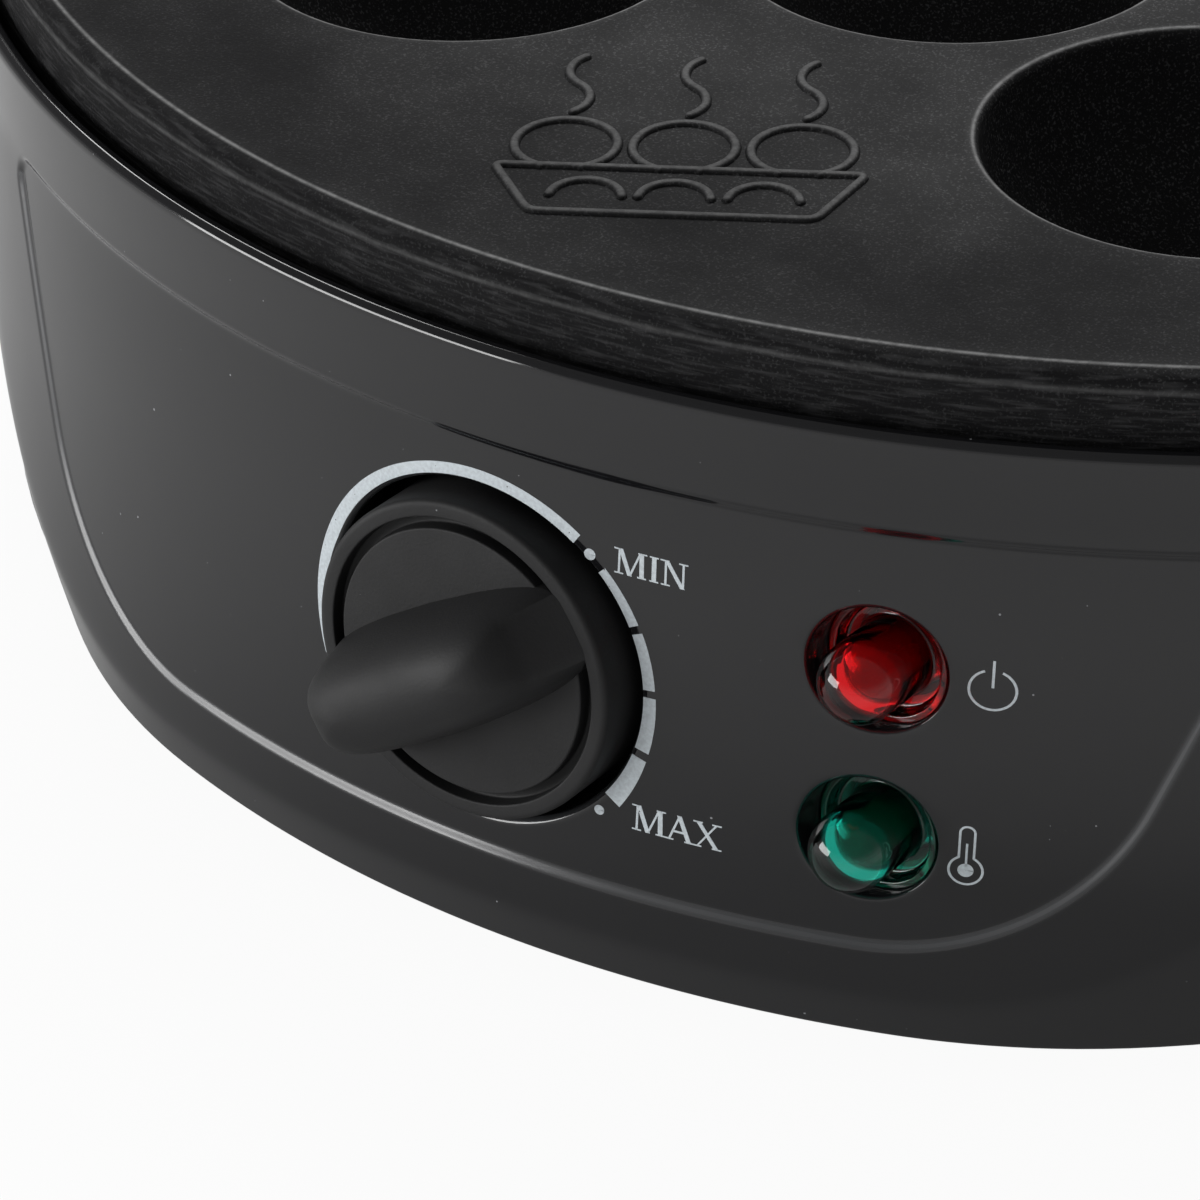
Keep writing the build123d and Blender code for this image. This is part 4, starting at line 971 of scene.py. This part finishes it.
# Bars of the symbols: both ends and the width.
BARS = (
    ((44.3, 7.6), (44.3, 10.1), 0.2),
    ((42.62, -8.6), (42.62, -6.2), 0.18),
    ((43.78, -8.6), (43.78, -6.2), 0.18),
    ((43.2, -9.4), (43.2, -7.2), 0.17),
)
# Words: left end, foot line and cap height.
WORDS = (("MIN", 13.1, 11.45, 2.35), ("MAX", 15.4, -12.4, 2.45))
# Strokes of capital letters, in shares of the cap height: foot x, foot y, head x, head y and
# width; then the places of the serifs; then the letter's width.
THIN, THICK, BRIDGE = 0.08, 0.17, 0.46
SERIF, SERIF_HEIGHT = 0.34, 0.055
LETTERS = {
    "M": ([(0.12, 0, 0.14, 1, THIN), (1.0, 0, 0.98, 1, THICK), (0.54, 0, 0.18, 1, THICK),
           (0.54, 0, 0.94, 1, THIN)], [(0.12, 0), (1.0, 0), (0.10, 1), (1.02, 1)], 1.24),
    "I": ([(0.22, 0, 0.22, 1, THICK)], [(0.22, 0), (0.22, 1)], 0.52),
    "N": ([(0.14, 0, 0.14, 1, THIN), (0.80, 0, 0.80, 1, THIN), (0.78, 0, 0.16, 1, THICK)],
          [(0.14, 0), (0.10, 1), (0.80, 1)], 1.04),
    "A": ([(0.08, 0, 0.46, 1, THIN), (0.82, 0, 0.44, 1, THICK), (0.45, 0.32, 0.45, 0.40, BRIDGE)],
          [(0.08, 0), (0.82, 0)], 1.0),
    "X": ([(0.82, 0, 0.12, 1, THICK), (0.10, 0, 0.80, 1, THIN)],
          [(0.10, 0), (0.82, 0), (0.12, 1), (0.80, 1)], 1.0),
}


def ink_word(housing, size, word, left, base, height):
    """A word in serif capitals, built of straight strokes, with its foot on a level line."""
    patches = []
    for letter in word:
        strokes, serifs, step = LETTERS[letter]
        bars = strokes + [(x, y - SERIF_HEIGHT * y, x, y - SERIF_HEIGHT * y + SERIF_HEIGHT, SERIF)
                          for x, y in serifs]
        for x0, y0, x1, y1, width in bars:
            foot = left + x0 * height, base + y0 * height
            head = left + x1 * height, base + y1 * height
            patches += ink_bar(housing, size, foot, head, width * height)
        left += step * height
    return patches


def build_print(housing, size, material):
    """The scale round the knob, with its two words, and the symbols beside the lamps."""
    patches = []
    for ink, rows in ((ink_sector, ARCS), (ink_bar, BARS), (ink_word, WORDS)):
        for row in rows:
            patches += ink(housing, size, *row)
    return make_piece("panel_print", patches, material, "cooker", sharp=20.0)


# ---- materials --------------------------------------------------------------------------------
SHARE, NUMBER_A, NUMBER_B, COLOUR_A, COLOUR_B = 0, 2, 3, 6, 7       # inputs of a Mix node
MIXED_NUMBER, MIXED_COLOUR = 0, 2                                    # its outputs


def feed(tree, node, inputs):
    """Gives a node its inputs as links or values: a list in the node's order, or by name."""
    named = inputs if isinstance(inputs, dict) else dict(enumerate(inputs))
    for name, value in named.items():
        if isinstance(value, bpy.types.NodeSocket):
            tree.links.new(value, node.inputs[name])
        else:
            node.inputs[name].default_value = value


def add(tree, kind, inputs=(), **settings):
    """Adds a shader node with its settings and inputs, and gives its outputs."""
    node = tree.nodes.new("ShaderNode" + kind)
    for name, value in settings.items():
        setattr(node, name, value)
    feed(tree, node, inputs)
    return node.outputs


def new_material(name, values, grain=None):
    """A material with these values on its Principled shader, and bumps of a grain's size in
    millimetres, detail and depth: the material, its tree, shader and Object coordinates."""
    material = bpy.data.materials.new(name)
    material.use_nodes = True
    tree = material.node_tree
    shader = tree.nodes["Principled BSDF"]
    feed(tree, shader, values)
    where = add(tree, "TexCoord")["Object"]
    if grain:
        size_mm, detail, depth_mm = grain
        noise = {"Vector": where, "Scale": per(size_mm), "Detail": detail}
        bump = {"Height": add(tree, "TexNoise", noise)["Fac"], "Distance": depth_mm * MM}
        feed(tree, shader, {"Normal": add(tree, "Bump", bump)["Normal"]})
    return material, tree, shader, where


def per(size_mm):
    """Scale of a pattern whose grains are this many millimetres wide."""
    return 1 / (size_mm * MM)


def clouds(tree, where, size_mm, detail, low, high, start=0.0, end=1.0):
    """Cloudy pattern with grains of this size: noise, spread so that low to high gives start to
    end."""
    noise = add(tree, "TexNoise", {"Vector": where, "Scale": per(size_mm), "Detail": detail})
    return add(tree, "MapRange", [noise["Fac"], low, high, start, end])["Result"]


def specks(tree, where, spacing_mm, size_mm, rarity):
    """1 inside small round specks, one in some of the cells of this spacing."""
    cells = add(tree, "TexVoronoi", {"Vector": where, "Scale": per(spacing_mm)})
    chance = add(tree, "SeparateColor", [cells["Color"]])["Red"]
    reach = add(tree, "MapRange", [chance, rarity, 1.0, 0.0, size_mm / spacing_mm])["Result"]
    return add(tree, "Math", [reach, cells["Distance"]], operation="GREATER_THAN")[0]


def paint(tree, shader, ground, *coats):
    """Paints a shader with a ground colour and others over it, each by its share."""
    for share, coat in coats:
        mix = {SHARE: share, COLOUR_A: ground, COLOUR_B: coat}
        ground = add(tree, "Mix", mix, data_type="RGBA")[MIXED_COLOUR]
    feed(tree, shader, {"Base Color": ground})


def gloss_abs(colours):
    """ABS moulded in a polished tool: a dark mirror with a faint orange peel, wiping haze in its gloss and dust
    specks that stand out pale.  The step round the panel and the well's mouth get a painted highlight in the
    dust's colour, and are less glossy."""
    material, tree, shader, where = new_material("gloss_black_abs", {"IOR": 1.54}, (5.0, 1, 0.012))
    step_highlight_and_rough_share, speck_roughness = 0.22, 0.4
    dust = specks(tree, where, 2.8, 0.13, 0.4)
    fine = specks(tree, where, 1.3, 0.05, 0.6)
    both = add(tree, "Math", [dust, fine], operation="MAXIMUM")[0]
    step = add(tree, "Attribute", attribute_name="step")["Fac"]
    # colour share: the dust specks, plus a painted highlight on the panel's step and the well's mouth
    pale = add(tree, "Math", [step, step_highlight_and_rough_share, both], operation="MULTIPLY_ADD")[0]
    paint(tree, shader, colours.housing, (pale, colours.dust))
    haze = clouds(tree, where, 14, 4, 0.35, 0.75, 0.07, 0.14)
    rough = add(tree, "Math", [both, speck_roughness, haze], operation="MULTIPLY_ADD")[0]
    rough = add(tree, "Math", [step, step_highlight_and_rough_share, rough], operation="MULTIPLY_ADD")[0]
    feed(tree, shader, {"Roughness": rough})
    return material


def nonstick_coat(colours):
    """Fluoropolymer coat sprayed on a cast aluminium plate: matte near-black with a fine grain, pale flecks,
    cloudy wear, a painted sheen in which more flecks show towards the cups, thin worn edges and fine lathe lines
    on the turned side.  The grain and the flecks are drawn coarser than they are, so that they show."""
    material, tree, shader, where = new_material(
        "nonstick_coat_on_cast_aluminium", {"IOR": 1.4, "Specular IOR Level": 0.12})
    sheen_from, sheen_to = 0.102, 0.084         # radii between which the coat gets a painted sheen: more flecks, and more gloss, inward
    line_stretch, line_gap_mm = 0.012, 0.42     # lathe lines: length to turn, and spacing
    wear = add(tree, "Attribute", attribute_name="wear")["Fac"]
    side = add(tree, "Attribute", attribute_name="turned")["Fac"]
    grain = add(tree, "TexNoise", {"Vector": where, "Scale": per(0.3), "Detail": 3})["Fac"]
    flecks = clouds(tree, where, 0.24, 2, 0.56, 0.68)
    patches = clouds(tree, where, 9, 5, 0.3, 0.75)
    axes = add(tree, "SeparateXYZ", [where])
    flat = add(tree, "CombineXYZ", [axes["X"], axes["Y"]])["Vector"]
    radius = add(tree, "VectorMath", [flat], operation="LENGTH")["Value"]
    # cloudy patches plus a painted sheen: more flecks show, and the coat grows glossier, towards the cups
    inward = add(tree, "MapRange", [radius, sheen_from, sheen_to])["Result"]
    patches_and_sheen = add(tree, "Math", [patches, inward], operation="ADD")[0]
    showing = add(tree, "MapRange", [patches_and_sheen, 0, 2, 0.15, 0.85])["Result"]
    share = add(tree, "Math", [flecks, showing], operation="MULTIPLY")[0]
    turn = add(tree, "Math", [axes["Y"], axes["X"]], operation="ARCTAN2")[0]
    along = add(tree, "Math", [turn, line_stretch], operation="MULTIPLY")[0]
    lines = add(tree, "CombineXYZ", [along, axes["Z"]])["Vector"]
    lathe = add(tree, "TexNoise", {"Vector": lines, "Scale": per(line_gap_mm), "Detail": 3})["Fac"]
    streak = add(tree, "MapRange", [lathe, 0.48, 0.72, 0.0, 0.45])["Result"]
    side_share = add(tree, "Math", [side, streak], operation="MULTIPLY")[0]
    patchy = clouds(tree, where, 0.9, 3, 0.42, 0.58, 0.7, 1.0)
    worn = add(tree, "Math", [wear, patchy], operation="MULTIPLY")[0]
    fleck = colours.fleck
    paint(tree, shader, colours.coat, (share, fleck), (side_share, fleck), (worn, colours.worn))
    rough = add(tree, "MapRange", [patches_and_sheen, 0, 2, 0.8, 0.5])["Result"]
    rough = add(tree, "Math", [worn, -0.15, rough], operation="MULTIPLY_ADD")[0]
    mix = {SHARE: side, NUMBER_A: grain, NUMBER_B: lathe}
    height = add(tree, "Mix", mix, data_type="FLOAT")[MIXED_NUMBER]
    bump = add(tree, "Bump", {"Height": height, "Distance": 0.06 * MM})["Normal"]
    feed(tree, shader, {"Roughness": rough, "Normal": bump})
    return material


def satin_abs(colours):
    """ABS from a spark-eroded tool: soft, even black with a broad sheen and a fine grain, which
    is drawn coarser than it is, so that it shows."""
    material, tree, shader, where = new_material(
        "satin_black_abs", {"IOR": 1.45}, (0.28, 2, 0.022))
    tint = clouds(tree, where, 6, 4, 0.3, 0.7), linear("#1c1c1d")
    paint(tree, shader, colours.knob, tint, (specks(tree, where, 2.4, 0.09, 0.6), colours.dust))
    feed(tree, shader, {"Roughness": clouds(tree, where, 9, 3, 0.3, 0.7, 0.58, 0.68)})
    return material


def tinted_lens(name, tint):
    """Clear-tinted acrylic: it bends light as glass does, and its moulding leaves faint waves."""
    values = {"IOR": 1.49, "Roughness": 0.02, "Base Color": tint, "Transmission Weight": 1.0}
    return new_material(name, values, (2.5, 2, 0.02))[0]


def screen_ink(colours):
    """Screen-printed ink: flat pale grey with pinholes where the mesh left no ink."""
    material, tree, shader, where = new_material(
        "screen_print_ink", {"IOR": 1.5, "Roughness": 0.45}, (0.2, 2, 0.01))
    tint = clouds(tree, where, 0.3, 2, 0.3, 0.7), linear("#c6ced3")
    holes = specks(tree, where, 0.55, 0.07, 0.55), linear("#4a4d50")
    paint(tree, shader, colours.ink, tint, holes)
    return material


def moulded_plastic(name, code, second, roughness, grain_mm):
    """Plain moulded plastic: an even colour that clouds a little, over an eroded grain."""
    material, tree, shader, where = new_material(
        name, {"IOR": 1.5, "Roughness": roughness}, (grain_mm, 2, 0.03))
    paint(tree, shader, linear(code), (clouds(tree, where, 8, 4, 0.3, 0.7), linear(second)))
    return material


def metal(name, code, second, roughness, patch_mm, grain_mm=0.4):
    """Bare or plated metal: its colour and gloss change in patches over a fine grain."""
    material, tree, shader, where = new_material(name, {"Metallic": 1.0}, (grain_mm, 2, 0.02))
    patches = clouds(tree, where, patch_mm, 4, 0.35, 0.65)
    paint(tree, shader, linear(code), (patches, linear(second)))
    rough = add(tree, "MapRange", [patches, 0, 1, roughness, roughness + 0.15])["Result"]
    feed(tree, shader, {"Roughness": rough})
    return material


def woven_sleeve():
    """Braided glass yarn: two crossed waves 0.9 mm apart give the braid its crowns."""
    material, tree, shader, where = new_material(
        "braided_glass_sleeve", {"IOR": 1.5, "Roughness": 0.7})
    inputs = {"Vector": where, "Scale": per(0.9) / 6.28}
    waves = [add(tree, "TexWave", inputs, bands_direction=way)["Fac"] for way in ("DIAGONAL", "X")]
    height = add(tree, "Math", waves, operation="MULTIPLY")[0]
    paint(tree, shader, linear("#a19c8c"), (height, linear("#d8d3c4")))
    bump = add(tree, "Bump", {"Height": height, "Distance": 0.15 * MM})["Normal"]
    feed(tree, shader, {"Normal": bump})
    return material


def bulb_glass():
    """Thin clear glass over a glow lamp's electrodes, a little grey with age."""
    values = {"IOR": 1.5, "Roughness": 0.05, "Transmission Weight": 0.35}
    material, tree, shader, where = new_material("glow_lamp_glass", values)
    noise = add(tree, "TexNoise", {"Vector": where, "Scale": per(1.5), "Detail": 2})["Fac"]
    paint(tree, shader, linear("#b9b2a6"), (noise, linear("#d9d4ca")))
    return material


# ---- operators --------------------------------------------------------------------------------
class PieceOperator:
    """What the operators share."""
    bl_options = {"REGISTER", "UNDO"}


class COOKER_OT_housing(PieceOperator, bpy.types.Operator):
    """Make the gloss housing with its fascia, panel, well and lamp holes"""
    bl_idname = "cooker.housing"
    bl_label = "Housing"

    def execute(self, context):
        scene = context.scene
        piece = build_housing(scene.cooker_housing, gloss_abs(scene.cooker_colours))
        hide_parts("housing_shell")
        return {"FINISHED"}


class COOKER_OT_plate(PieceOperator, bpy.types.Operator):
    """Make the coated plate with its cups, and the ornament on it"""
    bl_idname = "cooker.plate"
    bl_label = "Plate and ornament"

    def execute(self, context):
        scene = context.scene
        coat = nonstick_coat(scene.cooker_colours)
        piece = build_plate(scene.cooker_plate, coat)
        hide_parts("cooking_plate")
        build_ornament(scene.cooker_plate, coat)
        return {"FINISHED"}


class COOKER_OT_knob(PieceOperator, bpy.types.Operator):
    """Make the knob with its grip"""
    bl_idname = "cooker.knob"
    bl_label = "Knob"

    def execute(self, context):
        scene = context.scene
        piece = build_knob(scene.cooker_controls, satin_abs(scene.cooker_colours))
        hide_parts("knob")
        return {"FINISHED"}


class COOKER_OT_lamps(PieceOperator, bpy.types.Operator):
    """Make the two lamps' lenses"""
    bl_idname = "cooker.lamps"
    bl_label = "Lamp lenses"

    def execute(self, context):
        scene = context.scene
        sizes = scene.cooker_housing, scene.cooker_controls
        red = tinted_lens("red_acrylic", scene.cooker_colours.red)
        green = tinted_lens("green_acrylic", scene.cooker_colours.green)
        build_lens(*sizes, 1, "power_lamp_cap", red)
        build_lens(*sizes, -1, "heat_lamp_cap", green)
        return {"FINISHED"}


class COOKER_OT_print(PieceOperator, bpy.types.Operator):
    """Print the knob's scale and the lamps' symbols on the panel"""
    bl_idname = "cooker.panel_print"
    bl_label = "Panel print"

    def execute(self, context):
        scene = context.scene
        build_print(scene.cooker_housing, scene.cooker_controls, screen_ink(scene.cooker_colours))
        return {"FINISHED"}


class COOKER_OT_finishes(PieceOperator, bpy.types.Operator):
    """Finish the base, the feet, the gland and the parts inside"""
    bl_idname = "cooker.finishes"
    bl_label = "Base and inner parts"

    def execute(self, context):
        finishes = {
            "base_plastic": moulded_plastic(
                "satin_black_polypropylene", "#171718", "#1f1f20", 0.5, 0.6),
            "black_rubber": moulded_plastic(
                "moulded_black_rubber", "#151515", "#1d1c1b", 0.75, 0.35),
            "heater_sheath": metal("oxidised_heater_sheath", "#4c4843", "#6b6458", 0.42, 6),
            "zinc_steel": metal("zinc_plated_steel", "#a9abab", "#c3c2bd", 0.28, 3),
            "reflector_sheet": metal("bright_aluminium_sheet", "#cfd0d1", "#dcdcda", 0.16, 12, 0.8),
            "ceramic": moulded_plastic("steatite_ceramic", "#d9d4c6", "#e5e1d6", 0.55, 0.3),
            "brass_contacts": metal("plain_brass", "#b8924a", "#cfae6a", 0.25, 3),
            "white_plastic": moulded_plastic("white_polyamide", "#d6d6d2", "#e2e2df", 0.4, 0.5),
            "fuse_sleeve": woven_sleeve(),
            "lamp_glass": bulb_glass(),
        }
        for name, node in frame["nodes"].items():
            slot = SLOT_OF[name]
            if slot in finishes:
                node.data.materials.clear()
                node.data.materials.append(finishes[slot])
        return {"FINISHED"}


class COOKER_OT_stage(PieceOperator, bpy.types.Operator):
    """Set up the floor, the soft lights, the white surroundings and the camera"""
    bl_idname = "cooker.stage"
    bl_label = "Stage"

    def execute(self, context):
        scene = context.scene
        studio = scene.cooker_studio
        build_floor(studio)
        build_world(scene)
        for light in LIGHTS:
            area_light(*light)
        build_camera(scene, studio)
        scene.view_settings.view_transform = "Standard"
        return {"FINISHED"}


def build_floor(studio):
    """A round floor of matt white paper.  For the camera and through glass it glows faintly, so
    that it is white and still holds the cooker's soft shadow; gloss shows the paper as lit."""
    glow_share, gloss_share = 0.95, 0.12
    rings = np.array([0.0, 0.05, 0.15, 0.4, 1.0]) * studio.floor_radius
    points, faces = grid(revolved(LEVEL, np.stack([rings, 0 * rings], axis=-1), 64), closed=True)
    mesh = bpy.data.meshes.new("studio_floor")
    mesh.from_pydata(points.tolist(), [], faces.tolist())
    material, tree, shader, where = new_material("matt_white_paper", {"Roughness": 0.9})
    tint = clouds(tree, where, 60, 3, 0.3, 0.7), linear("#e2e2e2")
    paint(tree, shader, linear("#dedede"), tint)
    glow = add(tree, "Emission", {"Color": WHITE, "Strength": 1.0})[0]
    path = add(tree, "LightPath")
    seen = [path["Is Camera Ray"], path["Is Transmission Ray"]]
    direct = add(tree, "Math", seen, operation="MAXIMUM")[0]
    glossy = add(tree, "Math", [path["Is Glossy Ray"], gloss_share], operation="MULTIPLY")[0]
    share = add(tree, "Math", [direct, glow_share, glossy], operation="MULTIPLY_ADD")[0]
    mixed = add(tree, "MixShader", [share, shader.outputs[0], glow])[0]
    feed(tree, tree.nodes["Material Output"], {"Surface": mixed})
    mesh.materials.append(material)
    floor = bpy.data.objects.new("studio_floor", mesh)
    bpy.context.scene.collection.objects.link(floor)


def build_world(scene):
    """A white sweep in a dim room: white to the camera and through glass; to gloss, pale at the
    horizon and dim above it; and an even, low fill to matt surfaces."""
    low, high = 0.02, 0.35                      # rise of the rays between which the sweep dims
    pale, dim, fill, white = 0.6, 0.2, 0.35, 1.0
    world = bpy.data.worlds.new("studio")
    world.use_nodes = True
    tree = world.node_tree
    path = add(tree, "LightPath")
    ahead = add(tree, "SeparateXYZ", [add(tree, "TexCoord")["Generated"]])
    sweep = add(tree, "MapRange", [ahead["Z"], low, high, pale, dim])["Result"]
    seen = [path["Is Camera Ray"], path["Is Transmission Ray"]]
    direct = add(tree, "Math", seen, operation="MAXIMUM")[0]
    mix = {SHARE: path["Is Glossy Ray"], NUMBER_A: fill, NUMBER_B: sweep}
    room = add(tree, "Mix", mix, data_type="FLOAT")[MIXED_NUMBER]
    mix = {SHARE: direct, NUMBER_A: room, NUMBER_B: white}
    strength = add(tree, "Mix", mix, data_type="FLOAT")[MIXED_NUMBER]
    feed(tree, tree.nodes["Background"], {"Color": WHITE, "Strength": strength})
    scene.world = world


def area_light(name, spot, target, size, power):
    """A rectangular soft light at a spot, facing a target."""
    light = bpy.data.lights.new(name, "AREA")
    light.shape = "RECTANGLE"
    light.size, light.size_y = size
    light.energy = power
    lamp = bpy.data.objects.new(name, light)
    out = np.array(spot, float) - np.array(target, float)
    out = out / np.linalg.norm(out)
    across = np.cross(UPWARD, out)
    across = across / np.linalg.norm(across)
    basis = np.eye(4)
    basis[:3, :3] = np.stack([across, np.cross(out, across), out], axis=-1)
    basis[:3, 3] = spot
    lamp.matrix_world = Matrix(basis.tolist())
    bpy.context.scene.collection.objects.link(lamp)


def build_camera(scene, studio):
    """A long lens above the cooker's front right, looking down to the panel."""
    camera = bpy.data.cameras.new("studio_camera")
    camera.lens = studio.lens
    camera.sensor_width = 36.0
    camera.clip_end = 50.0
    viewer = bpy.data.objects.new("studio_camera", camera)
    spot = Matrix.Translation((studio.camera_x, studio.camera_y, studio.camera_z))
    heading = Matrix.Rotation(studio.heading, 4, "Z")
    tilt = Matrix.Rotation(math.pi / 2 - studio.tilt, 4, "X")
    viewer.matrix_world = spot @ heading @ tilt @ Matrix.Rotation(studio.roll, 4, "Z")
    scene.collection.objects.link(viewer)
    scene.camera = viewer


class COOKER_PT_panel(bpy.types.Panel):
    """Cooker: its pieces and its stage"""
    bl_label = "Takoyaki cooker"
    bl_idname = "COOKER_PT_panel"
    bl_space_type = "VIEW_3D"
    bl_region_type = "UI"
    bl_category = "Cooker"

    def draw(self, context):
        for operator in OPERATORS:
            self.layout.operator(operator.bl_idname)


SETTINGS = {
    "cooker_housing": HousingSettings,
    "cooker_plate": PlateSettings,
    "cooker_controls": ControlSettings,
    "cooker_colours": ColourSettings,
    "cooker_studio": StudioSettings,
}
OPERATORS = (COOKER_OT_housing, COOKER_OT_plate, COOKER_OT_knob, COOKER_OT_lamps, COOKER_OT_print,
             COOKER_OT_finishes, COOKER_OT_stage)


def register():
    for name, group in SETTINGS.items():
        bpy.utils.register_class(group)
        setattr(bpy.types.Scene, name, bpy.props.PointerProperty(type=group))
    for kind in (*OPERATORS, COOKER_PT_panel):
        bpy.utils.register_class(kind)


def unregister():
    for kind in (COOKER_PT_panel, *reversed(OPERATORS)):
        bpy.utils.unregister_class(kind)
    for name, group in SETTINGS.items():
        delattr(bpy.types.Scene, name)
        bpy.utils.unregister_class(group)


def main():
    register()
    for operator in OPERATORS:
        group, name = operator.bl_idname.split(".")
        getattr(getattr(bpy.ops, group), name)()


if __name__ == "__main__":
    main()
